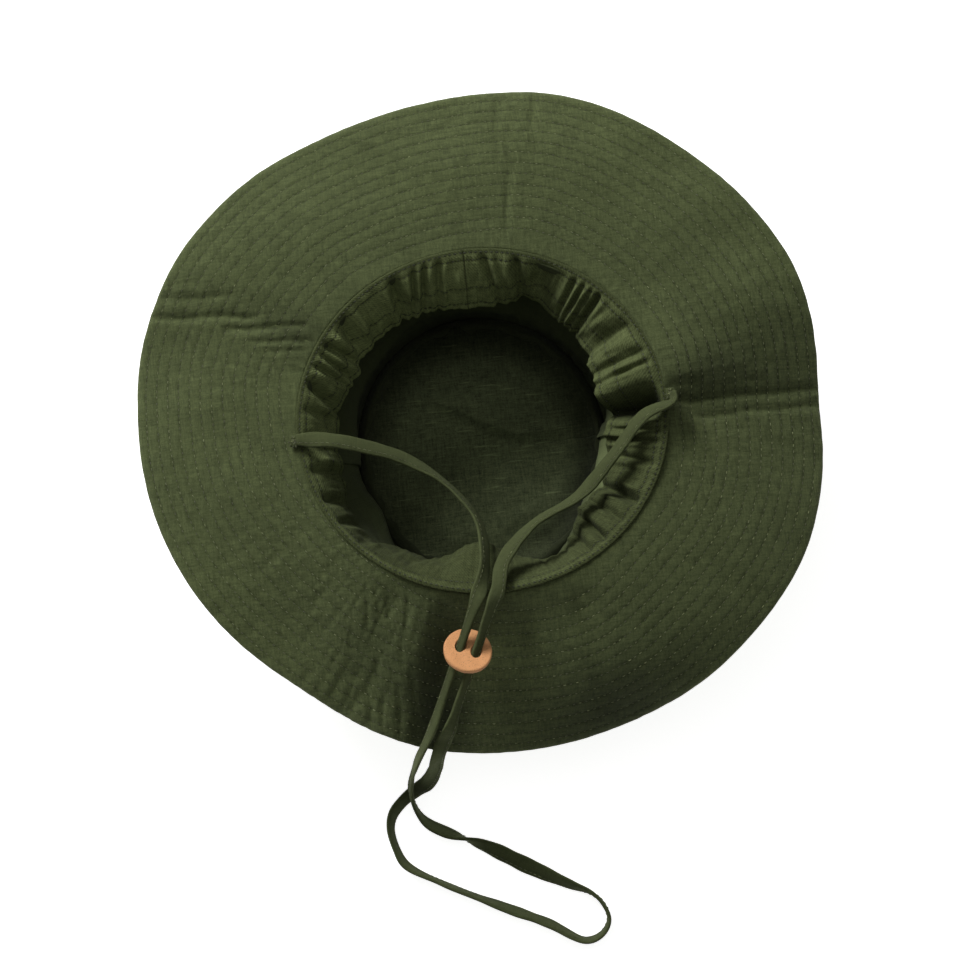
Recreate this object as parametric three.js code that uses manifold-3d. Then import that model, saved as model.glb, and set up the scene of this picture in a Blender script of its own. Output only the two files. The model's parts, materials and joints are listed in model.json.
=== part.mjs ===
// A boonie hat lying on its crown, with the head opening facing up.
// Millimetres. Z is up out of the head opening, -Y is the front of the hat, +Y its back.
// The origin is the middle of the crown tip's resting face.
import * as THREE from "three";
import { ParametricGeometry } from "three/addons/geometries/ParametricGeometry.js";
import { mergeVertices } from "three/addons/utils/BufferGeometryUtils.js";
import Module from "manifold-3d";

const wasm = await Module();
wasm.setup();

// ---- driving dimensions -------------------------------------------------------------

const GAP = 0.35; // clearance between pieces that are sewn face to face
const RIM = { x: 94, y: 88.5, z: 86 }; // half-widths and height of the head opening
const TIP = { x: 70, y: 76, thickness: 1.2 }; // half-widths of the crown tip
const WALL = { thickness: 1, bulge: 2.5, inset: 1.2, top: 85 }; // crown side panels
const TIP_SEAM = { width: 8, thickness: 1 };
const SIDE_SEAM = { width: 10, thickness: 1, low: 4, high: 60 };

const BRIM = { width: 86, layer: 0.8, between: 0.5, slope: 9 }; // cut width, one ply, gap, droop in degrees
// Each fold makes the brim droop more or less around one direction (degrees from +X).
const BRIM_FOLDS = [
  { at: 266, spread: 34, steeper: 13 }, // the front hangs down
  { at: 228, spread: 17, steeper: 9 },
  { at: 343, spread: 22, steeper: 3.5 },
  { at: 5, spread: 8, steeper: 4 }, // right-hand fold line, low side
  { at: 22, spread: 9, steeper: -2 }, // right-hand fold line, high side
  { at: 62, spread: 38, steeper: -7.5 }, // the back lies almost level
  { at: 143, spread: 18, steeper: -7 },
  { at: 162, spread: 9, steeper: 2 }, // left-hand fold line
];
// The cut edge isn't a true oval: the brim is wider or narrower round these directions.
const BRIM_CUT = [
  { at: 212, spread: 28, wider: -6.6 },
  { at: 42, spread: 38, wider: 2.6 },
  { at: 146, spread: 17, wider: 2.8 },
];

const BAND = { thickness: 1.2, flange: 5, width: 35 }; // sweatband
const ELASTIC = { thickness: 1, from: -40, to: 190 };
const LOOPS = { low: 57, high: 77, thickness: 1.2, count: 12, standOff: 2.2 };
const EYELET = { z: 46, turn: 12, bore: 5, barrel: 6.4, flange: 13, flangeThickness: 0.9 };

const STRAP = { diameter: 4.7, sides: 8, steps: 80, pair: 8.4 };
const RUN = { x: -21, y: -118, z: 85, heading: 26, fall: 20 }; // the straight doubled run
const SLIDER = { diameter: 25, thickness: 2.6, leanBack: 24, hole: 5.6 };
const TACK = { length: 7, width: 9.5, thickness: 2.2 };

const TURNS = 72; // facets round the hat

const rad = THREE.MathUtils.degToRad;

// ---- colours ------------------------------------------------------------------------

const fabric = (color) => new THREE.MeshStandardMaterial({ color, roughness: 0.95, metalness: 0 });
const OLIVE = 0x3a4a2a;
const OLIVE_DARK = 0x2c3a20;
const WEBBING = 0x35402a;
const LEATHER = 0xd89e6c;
const metal = () => new THREE.MeshStandardMaterial({ color: 0x2b3024, roughness: 0.5, metalness: 0.8 });

const hat = new THREE.Group();

function add(name, geometry, material) {
  const mesh = new THREE.Mesh(geometry, material);
  mesh.name = name;
  hat.add(mesh);
  return mesh;
}

// ---- solids and cuts ----------------------------------------------------------------

function positionsOnly(geometry) {
  const bare = geometry.clone();
  bare.deleteAttribute("normal");
  bare.deleteAttribute("uv");
  return mergeVertices(bare, 1e-4);
}

function toSolid(geometry) {
  const merged = positionsOnly(geometry);
  return new wasm.Manifold(
    new wasm.Mesh({
      numProp: 3,
      vertProperties: new Float32Array(merged.attributes.position.array),
      triVerts: new Uint32Array(merged.index.array),
    }),
  );
}

function toGeometry(solid) {
  const mesh = solid.getMesh();
  const geometry = new THREE.BufferGeometry();
  geometry.setAttribute("position", new THREE.BufferAttribute(mesh.vertProperties, 3));
  geometry.setIndex(new THREE.BufferAttribute(mesh.triVerts, 1));
  return geometry;
}

const keep = (geometry, tool) => toGeometry(toSolid(geometry).intersect(toSolid(tool)));
const cut = (geometry, tools) =>
  toGeometry(tools.reduce((left, tool) => left.subtract(toSolid(tool)), toSolid(geometry)));

function box(x0, x1, y0, y1, z0, z1) {
  const geometry = new THREE.BoxGeometry(x1 - x0, y1 - y0, z1 - z0);
  return geometry.translate((x0 + x1) / 2, (y0 + y1) / 2, (z0 + z1) / 2);
}

// A ring round the hat. section(angle) lists [radius, z] corners, anticlockwise with the
// radius to the right, and has the same number of corners at every angle.
function ring(section) {
  const corners = section(0).length;
  const place = (u, v, target) => {
    const angle = (u % 1) * 2 * Math.PI;
    const [radius, z] = section(angle)[Math.round(v * corners) % corners];
    target.set(radius * Math.cos(angle), radius * Math.sin(angle), z);
  };
  const swap = (u, v, target) => place(v, 1 - u, target);
  return positionsOnly(new ParametricGeometry(swap, corners, TURNS));
}

// A strip of cloth seen end on: a line of [radius, z] points, thickened on both sides.
function strip(line, thickness) {
  const offset = (k, side) => {
    const [r0, z0] = line[Math.max(k - 1, 0)];
    const [r1, z1] = line[Math.min(k + 1, line.length - 1)];
    const length = Math.hypot(r1 - r0, z1 - z0);
    const shift = (side * thickness) / 2 / length;
    return [line[k][0] + (z1 - z0) * shift, line[k][1] - (r1 - r0) * shift];
  };
  const one = line.map((_, k) => offset(k, 1));
  const other = line.map((_, k) => offset(k, -1)).reverse();
  return [...one, ...other];
}

// ---- shared surfaces ----------------------------------------------------------------

function ovalRadius(halfX, halfY, angle) {
  return (halfX * halfY) / Math.hypot(halfY * Math.cos(angle), halfX * Math.sin(angle));
}

const rimRadius = (angle) => ovalRadius(RIM.x, RIM.y, angle);
const tipRadius = (angle) => ovalRadius(TIP.x, TIP.y, angle);

// Inner face of the crown wall.
function wallRadius(angle, z) {
  const t = z / RIM.z;
  const straight = THREE.MathUtils.lerp(tipRadius(angle), rimRadius(angle), t);
  return straight - WALL.inset + WALL.bulge * Math.sin(Math.PI * t);
}

// The sum of smooth swells round the hat, each centred on its own direction.
function swells(list, amount, angle) {
  const degrees = THREE.MathUtils.radToDeg(angle);
  return list.reduce((sum, swell) => {
    const away = THREE.MathUtils.euclideanModulo(degrees - swell.at + 180, 360) - 180;
    return sum + swell[amount] * Math.exp(-((away / swell.spread) ** 2));
  }, 0);
}

const brimSlope = (angle) => rad(BRIM.slope + swells(BRIM_FOLDS, "steeper", angle));
const brimWidth = (angle) => BRIM.width + swells(BRIM_CUT, "wider", angle);
const brimStart = (angle) => rimRadius(angle) + WALL.thickness + 0.5;

// A point on the brim, out from the opening, as [radius, z] of its inner face.
function brimPoint(angle, out) {
  const slope = brimSlope(angle);
  return [brimStart(angle) + out * Math.cos(slope), RIM.z - out * Math.sin(slope)];
}

// ---- crown --------------------------------------------------------------------------

function oval(halfX, halfY) {
  const shape = new THREE.Shape();
  return shape.absellipse(0, 0, halfX, halfY, 0, 2 * Math.PI, false, 0);
}

function crownTip() {
  const options = { depth: TIP.thickness, bevelEnabled: false, curveSegments: TURNS / 2 };
  return new THREE.ExtrudeGeometry(oval(TIP.x, TIP.y), options);
}

function crownWallSection(angle) {
  const low = TIP.thickness + GAP;
  const levels = [0, 1, 2, 3, 4].map((k) => low + ((WALL.top - low) * k) / 4);
  const outer = levels.map((z) => [wallRadius(angle, z) + WALL.thickness, z]);
  const inner = levels.map((z) => [wallRadius(angle, z), z]);
  return [...outer, ...inner.reverse()];
}

function tipSeamSection(angle) {
  const outer = tipRadius(angle) - 2;
  const inner = outer - TIP_SEAM.width;
  const low = TIP.thickness + GAP;
  const high = low + TIP_SEAM.thickness;
  return [[inner, low], [outer, low], [outer, high], [inner, high]];
}

function sideSeamSection(angle) {
  const levels = [0, 1, 2, 3].map((k) => SIDE_SEAM.low + ((SIDE_SEAM.high - SIDE_SEAM.low) * k) / 3);
  const outer = levels.map((z) => [wallRadius(angle, z) - GAP, z]);
  const inner = outer.map(([radius, z]) => [radius - SIDE_SEAM.thickness, z]).reverse();
  return [...outer, ...inner];
}

const eyeletAngles = [0, 180].flatMap((side) => [side - EYELET.turn, side + EYELET.turn]).map(rad);

// Turns a piece made round the Z axis so that it stands in the crown wall at one eyelet.
function intoWall(geometry, angle) {
  const radius = wallRadius(angle, EYELET.z) + WALL.thickness / 2;
  const lean = Math.atan(wallRadius(angle, EYELET.z + 0.5) - wallRadius(angle, EYELET.z - 0.5));
  return geometry
    .rotateY(Math.PI / 2 + lean)
    .translate(radius, 0, EYELET.z)
    .rotateZ(angle);
}

function turned(profile, segments) {
  return new THREE.LatheGeometry(
    profile.map(([radius, height]) => new THREE.Vector2(radius, height)),
    segments,
  ).rotateX(Math.PI / 2);
}

function ringPlate(inside, outside, low, high) {
  return turned([[inside, low], [outside, low], [outside, high], [inside, high], [inside, low]], 16);
}

const wall = ring(crownWallSection);
const vents = eyeletAngles.map((angle) =>
  intoWall(new THREE.CylinderGeometry(3.7, 3.7, 12, 16).rotateX(Math.PI / 2), angle),
);
const reach = 2 * RIM.x;
const seamGap = 0.2;
const frontHalf = keep(wall, box(-reach, reach, -reach, -seamGap, -5, 2 * RIM.z));
const backHalf = keep(wall, box(-reach, reach, seamGap, reach, -5, 2 * RIM.z));
const sideTape = ring(sideSeamSection);
const half = SIDE_SEAM.width / 2;

add("crown_tip", crownTip(), fabric(OLIVE));
add("crown_side_front", cut(frontHalf, vents), fabric(OLIVE));
add("crown_side_back", cut(backHalf, vents), fabric(OLIVE));
add("crown_tip_seam", ring(tipSeamSection), fabric(OLIVE_DARK));
add("crown_side_seam_left", keep(sideTape, box(-reach, 0, -half, half, 0, RIM.z)), fabric(OLIVE_DARK));
add("crown_side_seam_right", keep(sideTape, box(0, reach, -half, half, 0, RIM.z)), fabric(OLIVE_DARK));

// ---- brim: three plies quilted together -----------------------------------------------

function brimPly(below) {
  return ring((angle) => {
    const face = [0, 1, 2, 3, 4, 5].map((k) => brimPoint(angle, (brimWidth(angle) * k) / 5));
    const upper = face.map(([radius, z]) => [radius, z - below]);
    const lower = face.map(([radius, z]) => [radius, z - below - BRIM.layer]);
    return [...lower, ...upper.reverse()];
  });
}

const ply = BRIM.layer + BRIM.between;
add("brim_inner_face", brimPly(0), fabric(OLIVE));
add("brim_interlining", brimPly(ply), fabric(OLIVE_DARK));
add("brim_outer_face", brimPly(2 * ply), fabric(OLIVE));

// ---- sweatband: a flange over the brim seam, then a band that leans into the crown ----

function bandLine(angle) {
  const lift = GAP + BAND.thickness;
  const edge = brimPoint(angle, BAND.flange);
  const rim = rimRadius(angle);
  return [
    [edge[0], edge[1] + lift],
    [rim - 0.5, RIM.z + lift],
    [rim - 14, RIM.z - 8],
    [rim - 26, RIM.z - 22],
  ];
}

function elasticSection(angle) {
  const [, , high, low] = bandLine(angle);
  const under = (BAND.thickness + ELASTIC.thickness) / 2 + GAP;
  const along = Math.hypot(high[0] - low[0], high[1] - low[1]);
  const normal = [(high[1] - low[1]) / along, -(high[0] - low[0]) / along];
  const shift = ([radius, z]) => [radius + normal[0] * under, z + normal[1] * under];
  return strip([shift(high), shift(low)], ELASTIC.thickness);
}

// A wedge that takes away the part of a ring with no elastic behind it.
function plainFront() {
  const shape = new THREE.Shape();
  shape.moveTo(0, 0);
  shape.absarc(0, 0, reach, rad(ELASTIC.to), rad(ELASTIC.from + 360), false);
  const wedge = new THREE.ExtrudeGeometry(shape, { depth: 2 * RIM.z, bevelEnabled: false });
  return wedge;
}

add("sweatband", ring((angle) => strip(bandLine(angle), BAND.thickness)), fabric(OLIVE_DARK));
add("sweatband_elastic", cut(ring(elasticSection), [plainFront()]), fabric(0x4a4f3c));

// ---- branch loop band round the outside of the crown ----------------------------------

function loopBandSection(angle) {
  const bow = LOOPS.standOff * Math.abs(Math.sin((LOOPS.count * angle) / 2));
  const inner = (z) => wallRadius(angle, z) + WALL.thickness + GAP + bow;
  const outer = (z) => inner(z) + LOOPS.thickness;
  const { low, high } = LOOPS;
  return [[inner(low), low], [outer(low), low], [outer(high), high], [inner(high), high]];
}

add("branch_loop_band", ring(loopBandSection), fabric(WEBBING));

// ---- vent eyelets ---------------------------------------------------------------------

const eyeletProfile = () => {
  const bore = EYELET.bore / 2;
  const barrel = EYELET.barrel / 2;
  const rimEdge = EYELET.flange / 2;
  const face = WALL.thickness / 2 + GAP + 0.2;
  const back = -face - EYELET.flangeThickness - 0.4;
  const front = face + EYELET.flangeThickness;
  const corners = [[bore, back], [barrel, back], [barrel, face], [rimEdge, face], [rimEdge - 1, front]];
  return turned([...corners, [bore, front], [bore, back]], 16);
};

const washer = () => {
  const face = WALL.thickness / 2 + GAP + 0.2;
  return ringPlate(EYELET.barrel / 2 + 0.4, EYELET.flange / 2, -face - EYELET.flangeThickness, -face);
};

const eyeletNames = ["right_front", "right_back", "left_back", "left_front"];
eyeletAngles.forEach((angle, k) => {
  add(`vent_eyelet_${eyeletNames[k]}`, intoWall(eyeletProfile(), angle), metal());
  add(`vent_washer_${eyeletNames[k]}`, intoWall(washer(), angle), metal());
});

// ---- chin strap: one doubled length from the left anchor to the right anchor -----------

const along = new THREE.Vector3(
  -Math.sin(rad(RUN.heading)) * Math.cos(rad(RUN.fall)),
  -Math.cos(rad(RUN.heading)) * Math.cos(rad(RUN.fall)),
  -Math.sin(rad(RUN.fall)),
);
const across = new THREE.Vector3(Math.cos(rad(RUN.heading)), -Math.sin(rad(RUN.heading)), 0);
const runMiddle = new THREE.Vector3(RUN.x, RUN.y, RUN.z);

// Points of the straight run, by distance past the slider. side is -1 left, +1 right.
function straightRun(side) {
  return [-27, -13, 28, 42].map((distance) =>
    runMiddle
      .clone()
      .addScaledVector(along, distance)
      .addScaledVector(across, (side * STRAP.pair) / 2),
  );
}

const list = (points) => points.map(([x, y, z]) => new THREE.Vector3(x, y, z));

function strapRoute() {
  const leftRun = list([
    [-92.5, -1, 90.8], [-80, -3, 91], [-64, -7, 87], [-42, -15, 79], [-22, -30, 75],
    [-8, -52, 78], [-7.5, -75, 88.5], [-10.5, -86, 92],
  ]);
  const drop = list([[-46, -158, 64.5], [-53.5, -169, 52], [-57, -175, 28], [-59, -181.5, 15.5]]);
  const loop = list([
    [-58.5, -187.5, 8.5], [-56.5, -193, 5], [-52, -199, 3.5], [-43.5, -204.5, 3],
    [-22.5, -214.5, 3], [-0.5, -228, 3], [20.5, -240, 3], [30, -245, 3], [35.5, -251, 3],
    [38, -260, 3], [33.5, -267, 3], [24.5, -269.5, 3], [6, -258.5, 3], [-17.5, -247, 3],
    [-47.5, -231.5, 3], [-66, -219.5, 3], [-70, -211, 3], [-72, -200, 3], [-70, -192.5, 3],
    [-64, -186, 3],
  ]);
  const rise = list([
    [-58, -182, 4], [-50, -178.5, 18], [-44.5, -172.5, 40], [-41.5, -166.5, 60], [-38, -160, 64.5],
  ]);
  const rightRun = list([
    [-2.5, -90, 92.5], [2, -75, 87.5], [20, -56, 77.5], [45, -44, 78], [64, -27, 85],
    [82, -4, 91], [92.3, 1.5, 90.8],
  ]);
  return [
    ...leftRun,
    ...straightRun(-1),
    ...drop,
    ...loop,
    ...rise,
    ...straightRun(1).reverse(),
    ...rightRun,
  ];
}

function chinStrap() {
  const section = new THREE.Shape();
  for (let k = 0; k < STRAP.sides; k += 1) {
    const turn = (2 * Math.PI * (k + 0.5)) / STRAP.sides;
    const x = (STRAP.diameter / 2) * Math.cos(turn);
    const y = (STRAP.diameter / 2) * Math.sin(turn);
    if (k === 0) section.moveTo(x, y);
    else section.lineTo(x, y);
  }
  const path = new THREE.CatmullRomCurve3(strapRoute(), false, "centripetal");
  return new THREE.ExtrudeGeometry(section, { steps: STRAP.steps, extrudePath: path });
}

function strapAnchor(side, y) {
  const flangeTop = RIM.z + GAP + 1.5 * BAND.thickness;
  const height = flangeTop + GAP + TACK.thickness / 2 + 0.4;
  const geometry = new THREE.BoxGeometry(TACK.length, TACK.width, TACK.thickness);
  return geometry.translate(side * (RIM.x + TACK.length / 2), y, height);
}

add("chin_strap", chinStrap(), fabric(OLIVE));
add("strap_anchor_left", strapAnchor(-1, -1), fabric(OLIVE));
add("strap_anchor_right", strapAnchor(1, 2), fabric(OLIVE));

// ---- leather slider: a disc with two holes, tipped back on the doubled run ------------

function leatherSlider() {
  const disc = new THREE.CylinderGeometry(SLIDER.diameter / 2, SLIDER.diameter / 2, SLIDER.thickness, 40);
  disc.rotateX(Math.PI / 2 - rad(SLIDER.leanBack));
  disc.rotateZ(-rad(RUN.heading));
  disc.translate(RUN.x, RUN.y, RUN.z);
  const toRun = new THREE.Quaternion().setFromUnitVectors(new THREE.Vector3(0, 1, 0), along);
  const holes = [-1, 1].map((side) => {
    const hole = new THREE.CylinderGeometry(SLIDER.hole / 2, SLIDER.hole / 2, 40, 16);
    const middle = runMiddle.clone().addScaledVector(across, (side * STRAP.pair) / 2);
    return hole.applyQuaternion(toRun).translate(middle.x, middle.y, middle.z);
  });
  return cut(disc, holes);
}

const leather = new THREE.MeshStandardMaterial({ color: LEATHER, roughness: 0.75, metalness: 0 });
add("slider", leatherSlider(), leather);

export default hat;
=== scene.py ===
import json
import math

import bpy
import numpy as np
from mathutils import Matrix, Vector


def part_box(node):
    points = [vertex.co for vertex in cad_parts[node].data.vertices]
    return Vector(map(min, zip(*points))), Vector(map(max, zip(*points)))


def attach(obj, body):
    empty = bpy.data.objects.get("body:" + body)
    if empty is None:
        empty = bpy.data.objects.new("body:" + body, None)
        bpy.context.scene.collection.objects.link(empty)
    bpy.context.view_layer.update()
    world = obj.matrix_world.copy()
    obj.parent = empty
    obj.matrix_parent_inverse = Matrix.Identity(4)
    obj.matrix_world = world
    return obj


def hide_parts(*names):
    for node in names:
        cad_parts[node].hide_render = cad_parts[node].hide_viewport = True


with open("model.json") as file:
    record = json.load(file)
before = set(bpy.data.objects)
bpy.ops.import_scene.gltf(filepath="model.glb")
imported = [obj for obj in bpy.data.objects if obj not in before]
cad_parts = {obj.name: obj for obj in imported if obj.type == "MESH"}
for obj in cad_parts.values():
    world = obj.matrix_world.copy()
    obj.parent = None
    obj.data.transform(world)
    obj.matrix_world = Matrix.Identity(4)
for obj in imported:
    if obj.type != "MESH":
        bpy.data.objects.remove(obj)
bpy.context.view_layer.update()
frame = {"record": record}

# A boonie hat lying on its crown. The shapes below are worked out in millimetres, with the
# angle round the hat in degrees from +X, and become metres when each mesh is made.
MM = 0.001
TAU = 2 * math.pi

# ---- driving dimensions: the CAD model's shapes, with the cloth's own thicknesses -----------

mounts = {mount["name"]: mount for mount in frame["record"]["mounts"]}
RIM_Z = mounts["head"]["pos_m"][2] / MM  # height of the head opening
RIM_X, RIM_Y = 94.0, 88.5  # half-widths of the head opening
TIP_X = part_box("crown_tip")[1].x / MM
TIP_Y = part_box("crown_tip")[1].y / MM
TIP_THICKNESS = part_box("crown_tip")[1].z / MM
WALL_THICKNESS, WALL_BULGE, WALL_INSET, WALL_TOP = 1.0, 2.5, 1.2, 85.0
WALL_ROUND = 84.0  # mean radius of the wall, for patterns measured in mm round it
RIM_GAP = 0.5  # from the wall to the brim

BRIM_WIDTH, BRIM_SLOPE = 86.0, 9.0
PLY, PLY_STEP = 0.8, 1.3  # thickness of one ply of the brim, and the step to the next
BRIM_THICKNESS = 2 * PLY_STEP + PLY
# (direction, spread, degrees steeper): how much more or less the brim droops.
BRIM_FOLDS = [
    (266, 34, 13), (228, 17, 9), (343, 22, 3.5), (5, 8, 4),
    (22, 9, -2), (62, 38, -7.5), (143, 18, -7), (162, 9, 2),
]
# (direction, spread, mm wider): how the cut edge strays from an oval.
BRIM_CUT = [(212, 28, -6.6), (42, 38, 2.6), (146, 17, 2.8)]

ROW_FIRST, ROW_PITCH, ROWS = 5.5, 6.0, 13  # quilting rows, measured in from the turned edge
STITCH = 3.3  # from one stitch to the next

FLANGE, BAND_WIDTH, BAND_THICKNESS = 0.6, 35.0, 1.1
BAND_TURN = 1.5  # what the band's turn over the seam takes up
BAND_ROUND = 92.0  # mean radius of the sweatband

STRAP_WIDTH, STRAP_THICKNESS = 9.0, 2.1
STRAP_AT_SLIDER = 4.9  # gathered width where the slider travels
PAIR = 8.4  # between the two strands at the slider
RUN_HEADING, RUN_FALL = 26.0, 20.0

# ---- camera, light and floor ----------------------------------------------------------------

VIEW_AZIMUTH, VIEW_ELEVATION, VIEW_DISTANCE, LENS = -6.5, 80.0, 1.194, 87.0
AIM = Vector((-0.0048, -0.0306, 0.0805))
# (name, azimuth, elevation, distance, size, power)
LIGHTS = [("key", 118.0, 32.0, 2.6, 1.2, 68.0), ("overhead", 96.0, 82.0, 2.0, 2.0, 5.5)]
FILL = 0.085
FLOOR_HALF, FLOOR_GLOW = 40.0, 0.86
DOME_RADIUS, DOME_GLOW = 15.0, 0.94


def direction(azimuth, elevation):
    """Unit vector towards a direction, azimuth anticlockwise from +X, in degrees."""
    a, e = math.radians(azimuth), math.radians(elevation)
    return Vector((math.cos(a) * math.cos(e), math.sin(a) * math.cos(e), math.sin(e)))


def make_camera():
    data = bpy.data.cameras.new("camera")
    data.lens = LENS
    data.sensor_width = 36.0
    data.clip_start, data.clip_end = 0.05, 50.0
    camera = bpy.data.objects.new("camera", data)
    back = direction(VIEW_AZIMUTH - 90.0, VIEW_ELEVATION)
    camera.location = AIM + back * VIEW_DISTANCE
    camera.rotation_mode = "QUATERNION"
    camera.rotation_quaternion = (-back).to_track_quat("-Z", "Y")
    bpy.context.scene.collection.objects.link(camera)
    bpy.context.scene.camera = camera


def make_lights():
    for name, azimuth, elevation, distance, size, power in LIGHTS:
        data = bpy.data.lights.new(name, "AREA")
        data.shape = "DISK"
        data.size = size
        data.energy = power
        light = bpy.data.objects.new(name, data)
        towards = direction(azimuth, elevation)
        light.location = towards * distance
        light.rotation_mode = "QUATERNION"
        light.rotation_quaternion = towards.to_track_quat("Z", "Y")
        bpy.context.scene.collection.objects.link(light)
    world = bpy.data.worlds.new("studio")
    world.use_nodes = True
    background = world.node_tree.nodes["Background"]
    background.inputs["Color"].default_value = (1.0, 1.0, 1.0, 1.0)
    background.inputs["Strength"].default_value = FILL
    bpy.context.scene.world = world
    bpy.context.scene.view_settings.view_transform = "Standard"


def glowing_material(name, grey, glow):
    material = bpy.data.materials.new(name)
    material.use_nodes = True
    shader = material.node_tree.nodes["Principled BSDF"]
    shader.inputs["Base Color"].default_value = (grey, grey, grey, 1.0)
    shader.inputs["Roughness"].default_value = 1.0
    shader.inputs["Emission Color"].default_value = (1.0, 1.0, 1.0, 1.0)
    shader.inputs["Emission Strength"].default_value = glow
    return material


def make_floor():
    half = FLOOR_HALF
    corners = [(-half, -half, 0), (half, -half, 0), (half, half, 0), (-half, half, 0)]
    mesh = bpy.data.meshes.new("floor")
    mesh.from_pydata(corners, [], [(0, 1, 2, 3)])
    mesh.materials.append(glowing_material("floor", 0.9, FLOOR_GLOW))
    floor = bpy.data.objects.new("floor", mesh)
    bpy.context.scene.collection.objects.link(floor)


def make_backdrop():
    """A pale dome behind low views. It is only seen, so the lights stay as they are."""
    bpy.ops.mesh.primitive_uv_sphere_add(segments=48, ring_count=24, radius=DOME_RADIUS)
    dome = bpy.context.object
    dome.name = "backdrop"
    dome.data.materials.append(glowing_material("backdrop", 0.0, DOME_GLOW))
    dome.visible_diffuse = False
    dome.visible_glossy = False
    dome.visible_transmission = False
    dome.visible_shadow = False


make_camera()
make_lights()
make_floor()
make_backdrop()

# ---- materials ------------------------------------------------------------------------------


class Shader:
    """A material being built: short calls that add nodes and join them."""

    def __init__(self, name):
        self.material = bpy.data.materials.new(name)
        self.material.use_nodes = True
        self.tree = self.material.node_tree
        self.surface = self.tree.nodes["Principled BSDF"]

    def add(self, kind, inputs=(), **settings):
        node = self.tree.nodes.new(kind)
        for key, value in settings.items():
            setattr(node, key, value)
        for socket, value in dict(inputs).items():
            self.put(node.inputs[socket], value)
        return node

    def put(self, socket, value):
        if isinstance(value, bpy.types.NodeSocket):
            self.tree.links.new(value, socket)
        else:
            socket.default_value = value

    def math(self, operation, a, b=0.0, c=0.0):
        return self.add("ShaderNodeMath", {0: a, 1: b, 2: c}, operation=operation).outputs[0]

    def scaled(self, vector, scale):
        node = self.add("ShaderNodeVectorMath", {0: vector, 1: scale}, operation="MULTIPLY")
        return node.outputs[0]

    def noise(self, vector, scale, detail=2.0, roughness=0.5):
        node = self.add("ShaderNodeTexNoise", {"Vector": vector, "Scale": scale, "Detail": detail,
                                               "Roughness": roughness})
        return node.outputs["Fac"]

    def wave(self, vector, period, across):
        """A sine from -1 to 1 along the direction across, repeating each period in metres."""
        turn = TAU / period
        length = math.hypot(*across)
        step = (across[0] / length * turn, across[1] / length * turn, 0.0)
        along = self.add("ShaderNodeVectorMath", {0: vector, 1: step}, operation="DOT_PRODUCT")
        return self.math("SINE", along.outputs["Value"])

    def attribute(self, name):
        return self.add("ShaderNodeAttribute", attribute_name=name)

    def tint(self, color, factor):
        """color times a grey factor socket."""
        grey = self.add("ShaderNodeCombineXYZ", {0: factor, 1: factor, 2: factor}).outputs[0]
        return self.scaled(grey, color)

    def bump(self, height, distance):
        node = self.add("ShaderNodeBump", {"Height": height, "Distance": distance, "Strength": 1.0})
        self.tree.links.new(node.outputs["Normal"], self.surface.inputs["Normal"])

    def finish(self, color, roughness, **plain):
        self.put(self.surface.inputs["Base Color"], color)
        self.put(self.surface.inputs["Roughness"], roughness)
        for socket, value in plain.items():
            self.put(self.surface.inputs[socket.replace("_", " ")], value)
        return self.material


OLIVE = (0.0915, 0.112, 0.043)
OLIVE_INSIDE = (0.088, 0.106, 0.047)
THREAD = (0.150, 0.168, 0.070)


def cloth(name, color, where, weave=0.55, slub=0.26, mottle=0.07, twill=0.0, sheen=0.05,
          streaks=0.0, shine=0.22):
    """Cotton cloth. where is "object" or a mesh attribute that holds flat pattern coordinates.

    weave is the thread spacing in mm, slub how far single threads stray in shade, mottle how
    unevenly the dye took, twill the pitch in mm of a diagonal rib, or 0 for a plain weave,
    streaks how much paler the odd thick thread is, and shine its specular level.
    """
    make = Shader(name)
    if where == "object":
        flat = make.add("ShaderNodeTexCoord").outputs["Object"]
    else:
        flat = make.attribute(where).outputs["Vector"]
    warp = make.noise(make.scaled(flat, (1.0, 0.14, 0.3)), 950.0, 2.0, 0.7)
    weft = make.noise(make.scaled(flat, (0.14, 1.0, 0.3)), 950.0, 2.0, 0.7)
    grain = make.noise(flat, 1500.0, 1.0)
    patches = make.noise(flat, 38.0, 3.0)
    threads = make.math("ADD", make.math("ADD", warp, weft), make.math("MULTIPLY", grain, 0.8))
    shade = make.math("MULTIPLY_ADD", make.math("SUBTRACT", threads, 1.4), slub * 2.2, 1.0)
    shade = make.math("ADD", shade, make.math("MULTIPLY_ADD", patches, 2 * mottle, -mottle))
    over = make.wave(flat, weave * MM, (1, 0))
    under = make.wave(flat, weave * MM, (0, 1))
    height = make.math("MULTIPLY", over, under)
    depth = 0.00007
    if twill:
        rib = make.wave(flat, twill * MM, (1, 0.8))
        shade = make.math("MULTIPLY_ADD", rib, 0.12, shade)
        height = make.math("MULTIPLY_ADD", height, 0.5, rib)
        depth = 0.00005
    if streaks:
        thick = make.noise(make.scaled(flat, (0.06, 1.0, 0.3)), 900.0, 1.0)
        picked = make.add("ShaderNodeMapRange", {"Value": thick, "From Min": 0.66, "From Max": 0.74})
        shade = make.math("MULTIPLY_ADD", picked.outputs["Result"], streaks, shade)
    height = make.math("MULTIPLY_ADD", threads, 0.8, height)
    # The shade attribute multiplies the colour: it carries painted light and shade, and some real wear.
    shade_attribute = make.attribute("shade").outputs["Fac"]
    shade = make.math("MULTIPLY", shade, shade_attribute)
    make.bump(height, depth)
    return make.finish(make.tint(color, shade), 0.92, Sheen_Weight=sheen, Sheen_Roughness=0.45,
                       Specular_IOR_Level=shine)


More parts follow.
